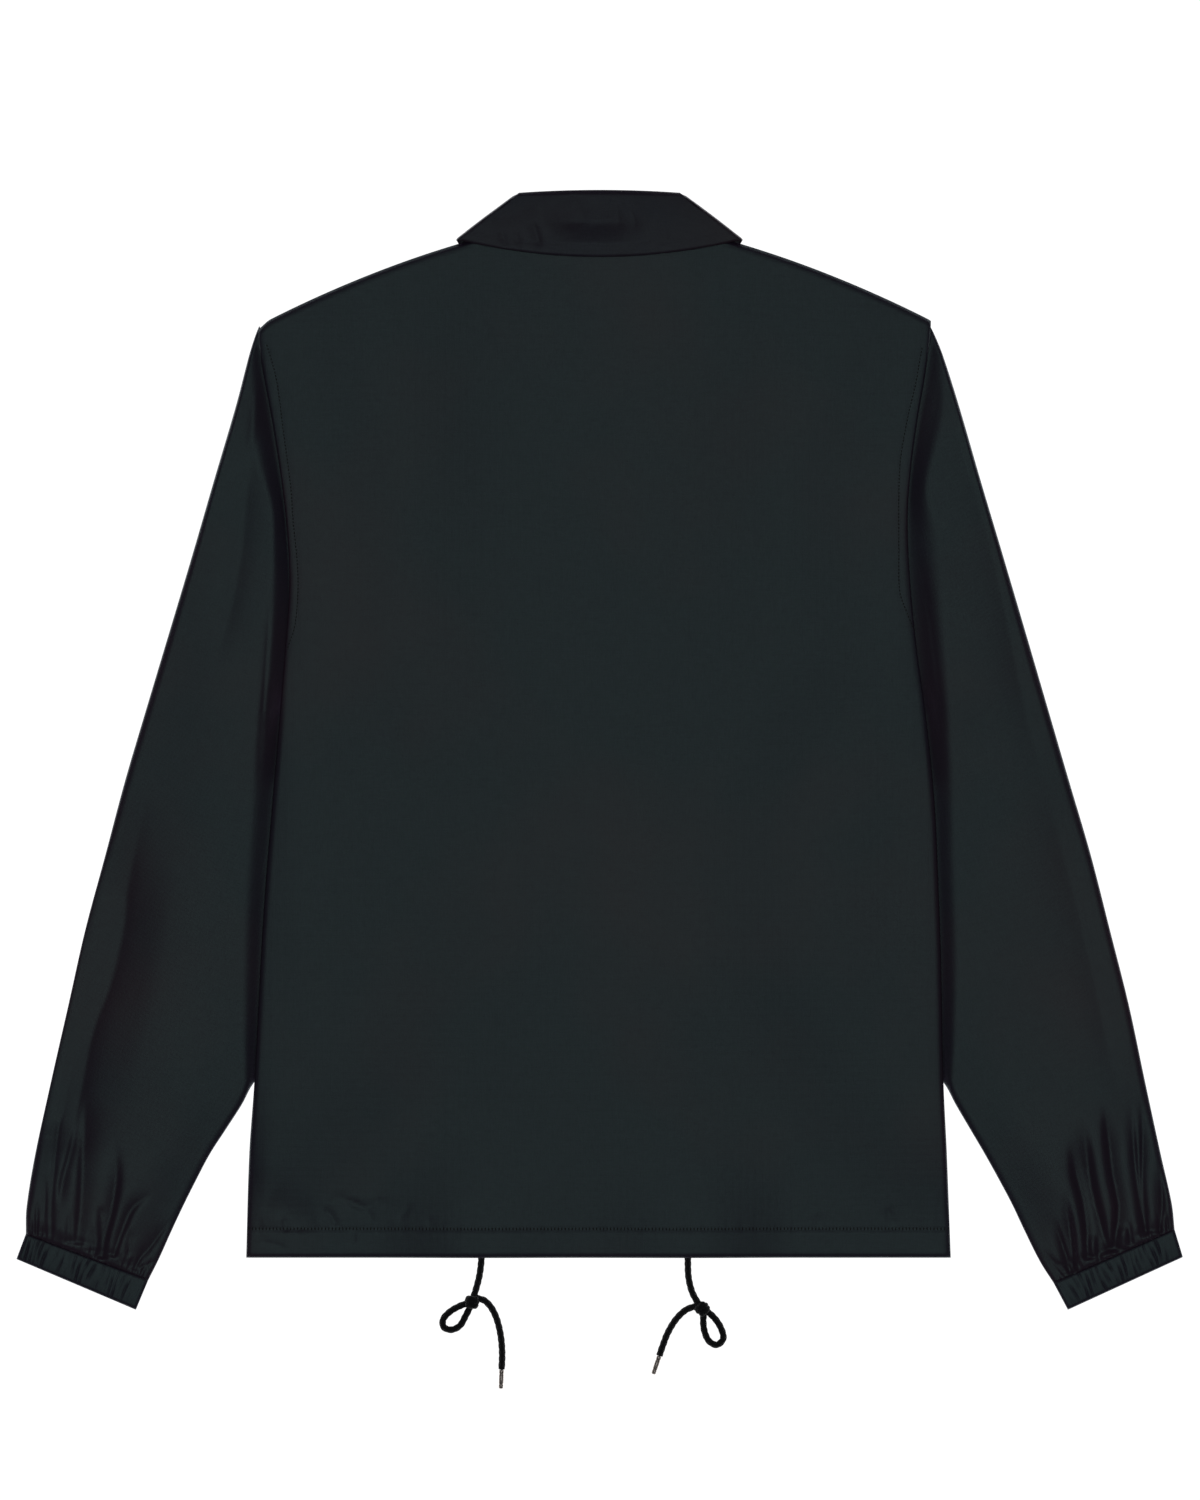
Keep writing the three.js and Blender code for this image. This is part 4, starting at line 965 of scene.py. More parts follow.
def cuff_cloth(name, side, inner, outer, ends, seed, plain_outer, node):
    v = np.linspace(0, 1, CUFF_ROWS)[:, None]
    seam_in, seam_out = np.array(inner[-1]), np.array(outer[-1])
    end_in, end_out = np.array(ends[0]), np.array(ends[1])
    start = -CUFF_TUCKED / np.linalg.norm(end_in - seam_in)
    f = start + (1 - start) * v
    from_at = seam_in + (end_in - seam_in) * f
    to_at = seam_out + (end_out - seam_out) * f
    width = np.linalg.norm(to_at - from_at, axis=1)[:, None]
    envelope = 0.55 + 0.45 * np.sin(math.pi * np.clip(v, 0, 1)) ** 0.7
    lip = np.clip(1 - v / 0.1, 0, 1) ** 2 + np.clip(1 - (1 - v) / 0.1, 0, 1) ** 2

    def plan(a):
        x = from_at[:, 0:1] + (to_at[:, 0:1] - from_at[:, 0:1]) * a
        y = from_at[:, 1:2] + (to_at[:, 1:2] - from_at[:, 1:2]) * a
        return x, y

    def layer(a, rise, wave_seed):
        x, y = plan(a)
        lean = a + 0.011 * np.sin(2 * math.pi * (3 * a + 0.5 * v))
        uneven = np.clip(0.75 + 0.45 * np.sin(2 * math.pi * (0.9 * v + 7.3 * a) + wave_seed), 0.35, 1)
        plain = 1 - 0.8 * smoothstep(PLAIN_FROM[0], PLAIN_FROM[1], a if plain_outer else 1 - a)
        valleys = (0.5 - 0.5 * tuck_wave(lean, wave_seed)) * tuck_strength(lean, wave_seed)
        ribs = rise * (1 - valleys * uneven * plain) * envelope
        folded = np.minimum(a, 1 - a) * width
        return x, y, ribs, rounded(np.clip(1 - folded / 3.0, 0, 1))

    x, y, ribs, roll = layer(np.linspace(0, 1, CUFF_TOP)[None, :], CUFF_RIB, seed)
    top = np.stack([side * x, y, CUFF_LEVEL + ribs - 1.5 * roll - 0.8 * lip], -1)
    x, y, ribs, roll = layer(np.linspace(1, 0, CUFF_LOW)[None, :], CUFF_RIB_BELOW, seed + 1)
    low = np.stack([side * x, y, CUFF_LEVEL_BELOW - ribs + 1.2 * roll + 0.3 * lip], -1)
    points = np.concatenate([top, low[:, 1:-1]], axis=1)
    length = np.linalg.norm(np.diff(points, axis=1, append=points[:, :1]), axis=2)
    around = np.cumsum(length, axis=1) - length
    uv = np.stack([around, np.broadcast_to(20 * v, around.shape)], -1)
    piece = cloth_piece(name, points, uv, [node], loop=True, turned=side > 0)
    return piece


cuff_left = cuff_cloth("cuff_left_cloth", -1, INNER_LEFT, OUTER_LEFT, CUFF_LEFT, 11, False, "cuff_left")
cuff_right = cuff_cloth("cuff_right_cloth", 1, INNER_RIGHT, OUTER_RIGHT, CUFF_RIGHT, 12, True, "cuff_right")

# %% [markdown]
# The collar is a turned-down band. Round the back of the neck its outside shows, with a rolled fold at
# the top. At each side it turns over a slanting crease, and its two leaves run on under the fronts. The
# stand inside it goes the same way. Both are rows of ribs from the fold to the edge: straight round the
# back, then half a turn about the crease, then along the front.

# %% Helpers for turned bands
TURN_WIDTH = 1.4


def band_uv(points, middle, down):
    """The cloth map of a band: along its middle line, and down each rib."""
    step = np.linalg.norm(np.diff(points[:, middle], axis=0), axis=1)
    run = np.concatenate([[0], np.cumsum(step)])
    shape = points.shape[:2]
    return np.stack([np.broadcast_to(run[:, None], shape), -np.broadcast_to(down, shape)], -1)


def turned_band(back_line, side_line, front_line, level_back, level_front, counts):
    """Ribs of half a band: their fold ends, edge ends, heights and outward directions."""
    fold, rim = np.array(side_line[0]), np.array(side_line[1])
    along = (rim - fold) / np.linalg.norm(rim - fold)
    outward = np.array([-along[1], along[0]])
    radius = (level_back - level_front) / 2
    middle = (level_back + level_front) / 2
    ribs = []
    for f in np.linspace(0, 1, counts[0], endpoint=False):
        start, end = back_line(f)
        ribs.append((start, end, level_back, (0, 0, 1)))
    for turn in np.linspace(0, math.pi, counts[1]):
        by = TURN_WIDTH * (1 - math.sin(turn)) + CLOTH / 2
        direction = (outward[0] * math.sin(turn), outward[1] * math.sin(turn), math.cos(turn))
        ribs.append((fold - outward * by, rim - outward * by, middle + radius * math.cos(turn), direction))
    for f in np.linspace(0, 1, counts[2] + 1)[1:]:
        start, end = front_line(f)
        ribs.append((start, end, level_front, (0, 0, -1)))
    folds = np.array([r[0] for r in ribs], float)
    rims = np.array([r[1] for r in ribs], float)
    levels = np.array([r[2] for r in ribs], float)
    faces = np.array([r[3] for r in ribs], float)
    flip = np.array([-1.0, 1.0])
    folds = np.concatenate([folds[:0:-1] * flip, folds])
    rims = np.concatenate([rims[:0:-1] * flip, rims])
    levels = np.concatenate([levels[:0:-1], levels])
    faces = np.concatenate([faces[:0:-1] * (-1, 1, 1), faces])
    return folds, rims, levels, faces


# %% The collar
ROLL = (57.6, 385.1)
ROLL_MIDDLE = 387.2
COLLAR_EDGE_MIDDLE = 341.4
CORNER = (99.2, 353.6)
COLLAR_FRONT = (4.1, 301.2)
COLLAR_POINT = (43.1, 241.2)
COLLAR_TOP = 7.8
COLLAR_LOW = 0.7

# A worn hollow over the stitch line with a swell under it, short strokes on its left, fine lines on
# its right.
COLLAR_FOLDS = (
    {"path": ((-44, 363), (-26, 366), (-6, 365), (12, 366), (36, 362)), "wide": (10.5, 11), "high": -2.1,
     "shape": (1.5, 1.3), "fade": (0.34, 0.4)},
    {"path": ((-38, 350), (-10, 350.5), (14, 350), (32, 349.5)), "wide": (4.5, 8), "high": 0.7,
     "shape": (1.5, 1.2), "fade": (0.35, 0.4)},
    {"path": ((-20, 386), (-14, 375), (-9, 363)), "wide": (9, 6), "high": -0.6, "shape": (1.1, 1.2)},
    {"path": ((-47, 367), (-43.5, 358), (-40, 345)), "wide": (4.4, 2.6), "high": -0.9, "shape": (1.1, 1.0),
     "fade": (0.3, 0.4)},
    {"path": ((-69, 361), (-66, 354), (-63, 346)), "wide": (3.6, 2.4), "high": -0.6, "shape": (1.1, 1.0),
     "fade": (0.35, 0.4)},
    {"path": ((-60, 361), (-56.5, 354), (-54, 346)), "wide": (3.6, 2.4), "high": -0.55, "shape": (1.1, 1.0),
     "fade": (0.35, 0.4)},
    {"path": ((11, 381), (13.5, 367), (13.5, 352)), "wide": (6, 2.4), "high": -0.24, "shape": (1.5, 1.1),
     "fade": (0.4, 0.4)},
    {"path": ((21, 378), (24.5, 366), (25, 352)), "wide": (6, 2.4), "high": -0.26, "shape": (1.5, 1.1),
     "fade": (0.4, 0.45)},
    {"path": ((43, 366), (45.5, 358), (46.5, 349)), "wide": (5, 2.4), "high": -0.3, "shape": (1.5, 1.1),
     "fade": (0.4, 0.4)},
    {"path": ((-78, 364), (-60, 371), (-40, 378)), "wide": (12, 9), "high": -0.7, "shape": (1.1, 1.1)},
)


def neck_arc(x, y, drop, f):
    """A point of the front neckline, which falls away from the side of the neck on a quarter circle."""
    return np.array([x * math.cos(f * math.pi / 2), y - drop * math.sin(f * math.pi / 2)])


def collar_back(f):
    x = 0.97 * f
    fold = (ROLL[0] * x, ROLL_MIDDLE - (ROLL_MIDDLE - ROLL[1]) * f * f)
    rise = COLLAR_EDGE_MIDDLE + (CORNER[1] - COLLAR_EDGE_MIDDLE) * f * f * 0.94
    return fold, (CORNER[0] * x, rise)


def collar_front(f):
    start = neck_arc(ROLL[0], ROLL[1], ROLL[1] - COLLAR_FRONT[1], 0.08 + 0.92 * f)
    start[0] = max(start[0], COLLAR_FRONT[0])
    x = CORNER[0] - 3 + (COLLAR_POINT[0] - CORNER[0] + 3) * f + 4 * math.sin(math.pi * f)
    return start, (x, CORNER[1] - 4 + (COLLAR_POINT[1] - CORNER[1] + 4) * f)


COLLAR_STEPS = 42
COLLAR_RIBS = (90, 15, 46)
COLLAR_STITCH_INSET = 7.5
COLLAR_GROOVE, COLLAR_GROOVE_WIDE = 0.12, 1.3
COLLAR_CURL, COLLAR_CURL_WIDE = 1.4, 4
COLLAR_PUFF = 0.5
COLLAR_LIP = 0.5
# The cloth under the collar stops a hollow at this depth.
HOLLOW_STOPS = -2.2


def collar_cloth():
    folds, rims, levels, faces = turned_band(
        collar_back, (ROLL, CORNER), collar_front, COLLAR_TOP, COLLAR_LOW, COLLAR_RIBS
    )
    f = spaced(COLLAR_STEPS, 0.5)
    points = []
    for fold, rim, level, face in zip(folds, rims, levels, faces):
        span = np.linalg.norm(rim - fold)
        x = fold[0] + (rim[0] - fold[0]) * f
        y = fold[1] + (rim[1] - fold[1]) * f
        upper = (face[2] + 1) / 2
        at_fold = np.clip(1 - f * span / COLLAR_CURL_WIDE, 0, 1)
        curl = COLLAR_CURL * at_fold**2 * (0.15 + 0.85 * upper)
        puff = COLLAR_PUFF * np.sin(math.pi * f) * upper
        near_edge = (1 - f) * span
        from_stitches = near_edge - COLLAR_STITCH_INSET
        groove = COLLAR_GROOVE * np.exp(-((from_stitches / COLLAR_GROOVE_WIDE) ** 2)) * upper
        lip = COLLAR_LIP * np.clip(1 - near_edge / 2, 0, 1) ** 2
        worn = np.maximum(fold_height(COLLAR_FOLDS, x, y), HOLLOW_STOPS) * upper**2
        out = puff - curl - groove - lip + worn + swell(x, y, 40, 0.1, 8) * upper
        points.append(np.stack([x + face[0] * out, y + face[1] * out, level + face[2] * out], -1))
    points = np.array(points)
    uv = band_uv(points, COLLAR_STEPS // 2, f * 60)
    piece = cloth_piece("collar_cloth", points, uv, ["collar"], turned=True, material=collar_nylon)
    return piece, points


collar, collar_points = collar_cloth()

# %% The collar stand
STAND_FOLD = (ROLL[0] - 3.6, ROLL[1] - 3.4)
STAND_SEAM = (NECK_HALF - 3.4, NECK_TOP + 1.4)
STAND_TOP = COLLAR_TOP - 0.4 - LAYER
STAND_LOW = LAYER + CLOTH / 2
STAND_STEPS = 12
STAND_RIBS = (30, 13, 34)
STAND_PUFF = 0.25


def stand_back(f):
    x = STAND_SEAM[0] * f * 0.94
    fold = (STAND_FOLD[0] * f * 0.94, ROLL_MIDDLE - 2.8 + (STAND_FOLD[1] - ROLL_MIDDLE + 2.8) * f * f)
    return fold, (x, float(top_edge(np.array(x))) + 0.3)


def stand_front(f):
    g = 0.1 + 0.9 * f
    start = neck_arc(STAND_FOLD[0], STAND_FOLD[1], STAND_FOLD[1] - COLLAR_FRONT[1] + 2.4, g)
    end = neck_arc(NECK_HALF - 0.3, NECK_TOP + 0.3, FRONT_NECK_DROP, g)
    start[0], end[0] = max(start[0], 0.5), max(end[0], 0.5)
    return start, end


def stand_cloth():
    folds, rims, levels, faces = turned_band(
        stand_back, (STAND_FOLD, STAND_SEAM), stand_front, STAND_TOP, STAND_LOW, STAND_RIBS
    )
    f = spaced(STAND_STEPS, 0.5)[None, :, None]
    plan = folds[:, None, :] + (rims - folds)[:, None, :] * f
    puff = STAND_PUFF * np.sin(math.pi * f)
    points = np.concatenate([plan, np.broadcast_to(levels[:, None, None], plan.shape[:2] + (1,))], -1)
    points = points + faces[:, None, :] * puff
    uv = band_uv(points, STAND_STEPS // 2, f[0, :, 0] * 30)
    piece = cloth_piece("collar_stand_cloth", points, uv, ["collar_stand"], turned=True)
    return piece


collar_stand = stand_cloth()

# %% [markdown]
# The drawcord's two free ends come out of the hem, each tied in a slip knot with one loop, and they lie
# on the floor. The cord is a braid almost 5 mm thick. A row of strands woven over and under each other
# would be truer and very heavy, so it is a round tube with the braid pressed into its radius. That shows
# the crossing strands at the right size and keeps one smooth route, which is what a cord is.

# %% Routes of the cord ends
CORD_RADIUS = 2.4
KNOT_LEVEL = 4.1
HEM_LEVEL = 4.4

CORD_LEFT = {
    "knot": (-88, -379.8),
    "lead": ((-81.6, -352), (-83, -362.4), (-86, -373.6), (-88, -378.6)),
    "loop": (
        (-90.4, -380.6), (-95.6, -382.4), (-102.8, -386.4), (-107.8, -391.8), (-107.6, -397.2),
        (-102.4, -399.2), (-96.4, -396.4), (-92.4, -389.6), (-88.8, -382.4),
    ),
    "tail": (
        (-86.4, -377.4), (-83, -377.8), (-78.8, -379.4), (-74, -385), (-70.4, -393.4), (-68, -404.6),
        (-67.2, -416), (-67.6, -427),
    ),
}
CORD_RIGHT = {
    "knot": (70.8, -384.4),
    "lead": ((61, -352), (61.4, -362.4), (63.6, -372.2), (67.2, -379.4), (70, -383)),
    "loop": (
        (71.8, -387), (71.6, -392.8), (72.4, -400), (75.6, -407), (81, -409.6), (85.4, -405.4),
        (84, -398.4), (79.6, -391.4), (73.6, -386),
    ),
    "tail": (
        (68, -383), (64.8, -383.4), (59.2, -385.8), (52.8, -392), (47.2, -401.2), (43.6, -410.4),
        (41.2, -417.6),
    ),
}


def cord_route(end, eyelet_x):
    """The middle line of one cord end, from its eyelet through the knot, round the loop, to the tip."""
    route = [(eyelet_x, HEM + EYELET_UP, HEM_LEVEL), (eyelet_x, HEM + 2, HEM_LEVEL - 0.1)]
    for i, (x, y) in enumerate(end["lead"]):
        route.append((x, y, HEM_LEVEL - 0.9 if i == 0 else 2.4 + (KNOT_LEVEL - 2.4) * i / 6))
    route += [(x, y, CORD_RADIUS) for x, y in end["loop"]]
    route += [(x, y, max(CORD_RADIUS, KNOT_LEVEL - 1 - i)) for i, (x, y) in enumerate(end["tail"])]
    return np.array(route)


# %% Helpers for braided tubes
BRAID_SIDES = 24
BRAID_STEP = 0.5
BRAID_STRANDS = 4
BRAID_LAY = 4.4
BRAID_RELIEF = 0.13
END_ROUNDING = 0.6
KNOT_END_ROUNDING = 1.5


def braid_skin(name, line, side, above, run, radius, close):
    """The skin of a round braid round a middle line, with its two ends closed."""
    turn = np.linspace(0, 2 * math.pi, BRAID_SIDES, endpoint=False)[None, :]
    lay = 2 * math.pi * run / BRAID_LAY
    strands = np.maximum(np.cos(BRAID_STRANDS * turn + lay), np.cos(BRAID_STRANDS * turn - lay))
    r = (radius - BRAID_RELIEF + BRAID_RELIEF * strands) * close
    ring = side[:, None, :] * np.cos(turn)[..., None] + above[:, None, :] * np.sin(turn)[..., None]
    points = line[:, None, :] + ring * r[..., None]
    faces = grid_faces(len(line), BRAID_SIDES, True, True)
    count = len(line) * BRAID_SIDES
    faces += [list(range(BRAID_SIDES)), list(range(count - BRAID_SIDES, count))[::-1]]
    piece = new_object(name, points.reshape(-1, 3), faces, braid)
    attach(piece, "root")
    return piece


def braided_tube(name, route, radius):
    """A round braid along a route. Returns the object and its middle line."""
    length = path_through(route, [0, 1])[1]
    count = int(length / BRAID_STEP)
    line, _ = path_through(route, np.linspace(0, 1, count))
    line[:, 2] = np.maximum(line[:, 2], radius + 0.05)
    tangent = np.gradient(line, axis=0)
    tangent /= np.linalg.norm(tangent, axis=1)[:, None]
    side = np.cross(tangent, (0, 0, 1.0))
    side /= np.linalg.norm(side, axis=1)[:, None]
    above = np.cross(side, tangent)
    run = (np.arange(count) * length / (count - 1))[:, None]
    close = np.sqrt(np.clip(np.minimum(run, run[::-1]) / END_ROUNDING, 0.02, 1))
    piece = braid_skin(name, line, side, above, run, radius, close)
    print(name, "length in mm:", round(length, 1))
    return piece, line


# %% [markdown]
# The tip is a small metal sleeve crimped round the cord's end. Its profile is turned round the cord's
# middle line: a straight wall with two shallow crimps and a rounded nose.

# %% Helper for cord tips
TIP_RADIUS = 1.6
TIP_LENGTH = 13.0
TIP_SIDES = 20
# Crimping leaves the sleeve a little wider than it is high.
TIP_WIDER, TIP_FLATTER = 1.06, 0.94
# Columns: share of the length, share of the radius.
TIP_PROFILE = (
    (0.0, 0.0), (0.0, 0.7), (0.0, 0.94), (0.02, 1.0), (0.16, 1.0), (0.19, 0.88), (0.23, 0.88),
    (0.26, 1.0), (0.7, 0.98), (0.73, 0.86), (0.77, 0.86), (0.8, 0.96), (0.95, 0.9), (0.99, 0.6),
    (1.0, 0.0),
)


def cord_tip(name, start, direction, node):
    forward = np.array(direction) / np.linalg.norm(direction)
    side = np.cross(forward, (0, 0, 1.0))
    above = np.cross(side, forward)
    turn = np.linspace(0, 2 * math.pi, TIP_SIDES, endpoint=False)
    ring = side * np.cos(turn)[:, None] * TIP_WIDER + above * np.sin(turn)[:, None] * TIP_FLATTER
    points = []
    for at, wide in TIP_PROFILE:
        points.append(np.array(start) + forward * at * TIP_LENGTH + ring * max(wide, 0.02) * TIP_RADIUS)
    points = np.array(points)
    faces = grid_faces(len(TIP_PROFILE), TIP_SIDES, True, True)
    count = len(TIP_PROFILE) * TIP_SIDES
    faces += [list(range(TIP_SIDES)), list(range(count - TIP_SIDES, count))[::-1]]
    piece = new_object(name, points.reshape(-1, 3), faces, nickel)
    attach(piece, "root")
    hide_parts(node)
    return piece


# %% [markdown]
# The slip knot is a few turns of the same braid, wound tightly round the lead where the loop and the
# tail leave it. It could be drawn as a tied rope, strand by strand, but at this size only the turns
# show, so it is a flat helix. All three pieces of a cord end are made here.

# %% The cord ends
KNOT_TURNS = 2.5
KNOT_LONG, KNOT_WIDE, KNOT_HIGH = 2.9, 3.0, 1.7
# Cord pulled tight in a knot is a little thinner.
KNOT_TIGHT = 0.94


def cord_knot(name, end, node):
    """Turns of cord wrapped tightly round the lead."""
    x, y = end["knot"]
    lead = np.array(end["lead"][-1]) - np.array(end["lead"][-3])
    lean = math.atan2(lead[1], lead[0])
    turns = np.linspace(0, KNOT_TURNS * 2 * math.pi, 60)
    along = np.linspace(-KNOT_LONG, KNOT_LONG, 60) + 0.5 * np.sin(turns / 2)
    across = KNOT_WIDE * np.cos(turns)
    high = KNOT_HIGH * np.sin(turns)
    route = np.stack([
        x + along * math.cos(lean) - across * math.sin(lean),
        y + along * math.sin(lean) + across * math.cos(lean),
        KNOT_LEVEL + high,
    ], -1)
    piece = wound_tube(name, route, CORD_RADIUS * KNOT_TIGHT)
    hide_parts(node)
    return piece


def wound_tube(name, route, radius):
    """A braided tube on a route that also climbs, so its rings turn with it without twisting."""
    fine = np.linspace(0, len(route) - 1, 200)
    line = np.stack([np.interp(fine, np.arange(len(route)), c) for c in route.T], -1)
    tangent = np.gradient(line, axis=0)
    tangent /= np.linalg.norm(tangent, axis=1)[:, None]
    side = np.zeros_like(line)
    side[0] = np.cross(tangent[0], (0.3, 0.2, 1.0))
    for i in range(1, len(line)):
        side[i] = side[i - 1] - tangent[i] * np.dot(side[i - 1], tangent[i])
        side[i] /= np.linalg.norm(side[i])
    side[0] /= np.linalg.norm(side[0])
    above = np.cross(side, tangent)
    run = np.concatenate([[0], np.cumsum(np.linalg.norm(np.diff(line, axis=0), axis=1))])[:, None]
    close = np.sqrt(np.clip(np.minimum(run, run[-1] - run) / KNOT_END_ROUNDING, 0.02, 1))
    return braid_skin(name, line, side, above, run, radius, close)


for word, end, eyelet_x in (("left", CORD_LEFT, CORD_AT[0]), ("right", CORD_RIGHT, CORD_AT[1])):
    route = cord_route(end, eyelet_x)
    cord, line = braided_tube(f"cord_{word}", route, CORD_RADIUS)
    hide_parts(f"cord_lead_{word}", f"cord_loop_{word}", f"cord_tail_{word}")
    knot = cord_knot(f"knot_{word}", end, f"cord_knot_{word}")
    last = route[-1] - route[-2]
    tip = cord_tip(f"tip_{word}", route[-1], (last[0], last[1], 0), f"cord_tip_{word}")

# %% [markdown]
# Stitches repeat along a line, so Geometry Nodes make them. The tree takes a curve, places one small
# rounded bead of thread at every stitch, turns it along the curve, and makes the beads real. Its inputs
# are the sizes that a tailor would name: the distance from stitch to stitch, and the thread's length,
# width and thickness above the cloth. Each real stitch also draws a tiny pucker across the seam, and
# from a step away the shade in a row of those puckers is what shows. It is too fine for the cloth's
# grid, so on the hem and the collar a bead of dark thread is drawn as wide as its pucker, as painted
# shade of the pucker.

# %% The stitching tree
# The usual width is far wider than a thread. There the dark bead is painted shade of the pucker that each
# stitch pulls.
STITCH_SIZES = {"Pitch": 2.4, "Thread length": 1.0, "Thread width": 2.4, "Thread thickness": 0.4}


def stitch_tree():
    tree = bpy.data.node_groups.new("row of stitches", "GeometryNodeTree")
    face = tree.interface
    face.new_socket("Geometry", in_out="INPUT", socket_type="NodeSocketGeometry")
    for name, value in STITCH_SIZES.items():
        socket = face.new_socket(name, in_out="INPUT", socket_type="NodeSocketFloat")
        socket.default_value = value * MM
    face.new_socket("Material", in_out="INPUT", socket_type="NodeSocketMaterial")
    face.new_socket("Geometry", in_out="OUTPUT", socket_type="NodeSocketGeometry")
    given = add_node(tree, "NodeGroupInput")
    points = add_node(
        tree, "GeometryNodeResampleCurve",
        {"Curve": given.outputs["Geometry"], "Length": given.outputs["Pitch"]}, mode="LENGTH",
    )
    bead = add_node(tree, "GeometryNodeMeshUVSphere", {"Segments": 6, "Rings": 4, "Radius": 0.5})
    size = add_node(
        tree, "ShaderNodeCombineXYZ",
        {"X": given.outputs["Thread length"], "Y": given.outputs["Thread width"],
         "Z": given.outputs["Thread thickness"]},
    )
    sized = add_node(
        tree, "GeometryNodeTransform", {"Geometry": bead.outputs["Mesh"], "Scale": size.outputs["Vector"]}
    )
    tangent = add_node(tree, "GeometryNodeInputTangent")
    turn = add_node(
        tree, "FunctionNodeAlignRotationToVector", {"Vector": tangent.outputs["Tangent"]}, axis="X"
    )
    placed = add_node(
        tree, "GeometryNodeInstanceOnPoints",
        {"Points": points.outputs["Curve"], "Instance": sized.outputs["Geometry"],
         "Rotation": turn.outputs["Rotation"]},
    )
    real = add_node(tree, "GeometryNodeRealizeInstances", {"Geometry": placed.outputs["Instances"]})
    smooth = add_node(tree, "GeometryNodeSetShadeSmooth", {"Geometry": real.outputs["Geometry"]})
    dressed = add_node(
        tree, "GeometryNodeSetMaterial",
        {"Geometry": smooth.outputs["Geometry"], "Material": given.outputs["Material"]},
    )
    add_node(tree, "NodeGroupOutput", {"Geometry": dressed.outputs["Geometry"]})
    return tree


STITCHING = stitch_tree()


def set_input(modifier, name, value):
    """Sets a modifier's input by the identifier of the socket with that name."""
    for item in modifier.node_group.interface.items_tree:
        if item.name == name and item.in_out == "INPUT":
            modifier[item.identifier] = value


def curve_object(name, lines):
    """A curve with one spline for each line of points in millimetres."""
    data = bpy.data.curves.new(name, "CURVE")
    data.dimensions = "3D"
    for line in lines:
        spline = data.splines.new("POLY")
        spline.points.add(len(line) - 1)
        flat = np.concatenate([np.asarray(line) * MM, np.ones((len(line), 1))], axis=1)
        spline.points.foreach_set("co", flat.ravel())
    piece = bpy.data.objects.new(name, data)
    bpy.context.scene.collection.objects.link(piece)
    return piece


def stitches(name, lines, **sizes):
    """Rows of stitches along lines in millimetres. Sizes that aren't given are the usual ones."""
    guide = curve_object(name + "_guide", lines)
    modifier = guide.modifiers.new("stitches", "NODES")
    modifier.node_group = STITCHING
    for size, usual in STITCH_SIZES.items():
        set_input(modifier, size, sizes.get(size.split()[-1].lower(), usual) * MM)
    set_input(modifier, "Material", thread)
    graph = bpy.context.evaluated_depsgraph_get()
    mesh = bpy.data.meshes.new_from_object(guide.evaluated_get(graph), depsgraph=graph)
    piece = bpy.data.objects.new(name, mesh)
    bpy.context.scene.collection.objects.link(piece)
    bpy.data.objects.remove(guide)
    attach(piece, "root")
    print(name, "faces:", len(mesh.polygons))
    return piece


# %% [markdown]
# The rows of stitches that show on the back are the one over the hem's casing and the ones round the
# armholes, a finger's width inside the seam. A row lies on the cloth, so each line is laid in the plan
# and lifted to the height of the back.

# %% Stitches of the back
def on_back(plan_points):
    length = path_through(plan_points, [0, 1])[1]
    line, _ = path_through(plan_points, np.linspace(0, 1, int(length)))
    z = back_top(line[:, 0], line[:, 1]) + 0.05
    return np.stack([line[:, 0], line[:, 1], z], -1)


hem_line = on_back(((-242, HEM + HEM_DEPTH), (0, HEM + HEM_DEPTH), (240.5, HEM + HEM_DEPTH)))
# Its beads take the usual width, so besides thread they are painted shade of the hem's puckers.
stitches("stitches_hem", [hem_line])
stitches("stitches_armholes", [on_back(ARMHOLE_LEFT), on_back(ARMHOLE_RIGHT)], length=1.7, width=0.9)

# %% Stitches of the collar
middle_rib = len(collar_points) // 2
collar_line = []
for rib in collar_points[middle_rib - COLLAR_RIBS[0] + 1:middle_rib + COLLAR_RIBS[0]]:
    span = np.linalg.norm(rib[-1, :2] - rib[0, :2])
    share = 1 - COLLAR_STITCH_INSET / span
    run = np.linalg.norm(rib[:, :2] - rib[0, :2], axis=1) / span
    collar_line.append([np.interp(share, run, rib[:, k]) for k in range(3)])
collar_line = np.array(collar_line) + (0, 0, 0.05)
# These beads take the usual width too, and are painted shade of the collar's puckers as well as thread.
stitches("stitches_collar", [collar_line])

# %% [markdown]
# The fronts are stitched too: over the hem, beside the placket and inside the armholes. These rows face
# the floor, so they are plain thread. The left line is laid the other way round, because the tree would
# otherwise turn its beads on edge.

# %% Stitches of the fronts
def on_front(side, under, plan_points):
    length = path_through(plan_points, [0, 1])[1]
    line, _ = path_through(plan_points, np.linspace(0, 1, int(length)))
    x = side * line[:, 0]
    z = under(x, line[:, 1]) + np.maximum(fold_height(FRONT_FOLDS, line[:, 0], line[:, 1]), 0) + 0.2
    return np.stack([x, line[:, 1], z], -1)[::side]


front_lines = []
for side, under in ((-1, front_under), (1, right_front_under)):
    front_lines.append(on_front(side, under, ((-13, HEM + HEM_DEPTH), (238, HEM + HEM_DEPTH))))
    front_lines.append(on_front(side, under, ((13, HEM + HEM_DEPTH), (13, 262))))
    front_lines.append(on_front(side, under, [(abs(x) - 1, y) for x, y in ARMHOLE_RIGHT]))
stitches("stitches_front", front_lines, length=1.9, width=0.6, thickness=0.3)

# %% [markdown]
# The snaps close the front, so they are on the underside here. A cap is a shallow painted disc with a
# rolled rim, made once and set down the left front by Geometry Nodes. The stud parts behind them and
# the two eyelets in the hem keep their solids and get the plated metal.

# %% Snap caps
SNAP_TOP, SNAP_PITCH, SNAP_COUNT, CAP_RADIUS = 236.0, 110.0, 6, 7.0
CAP_SIDES = 28
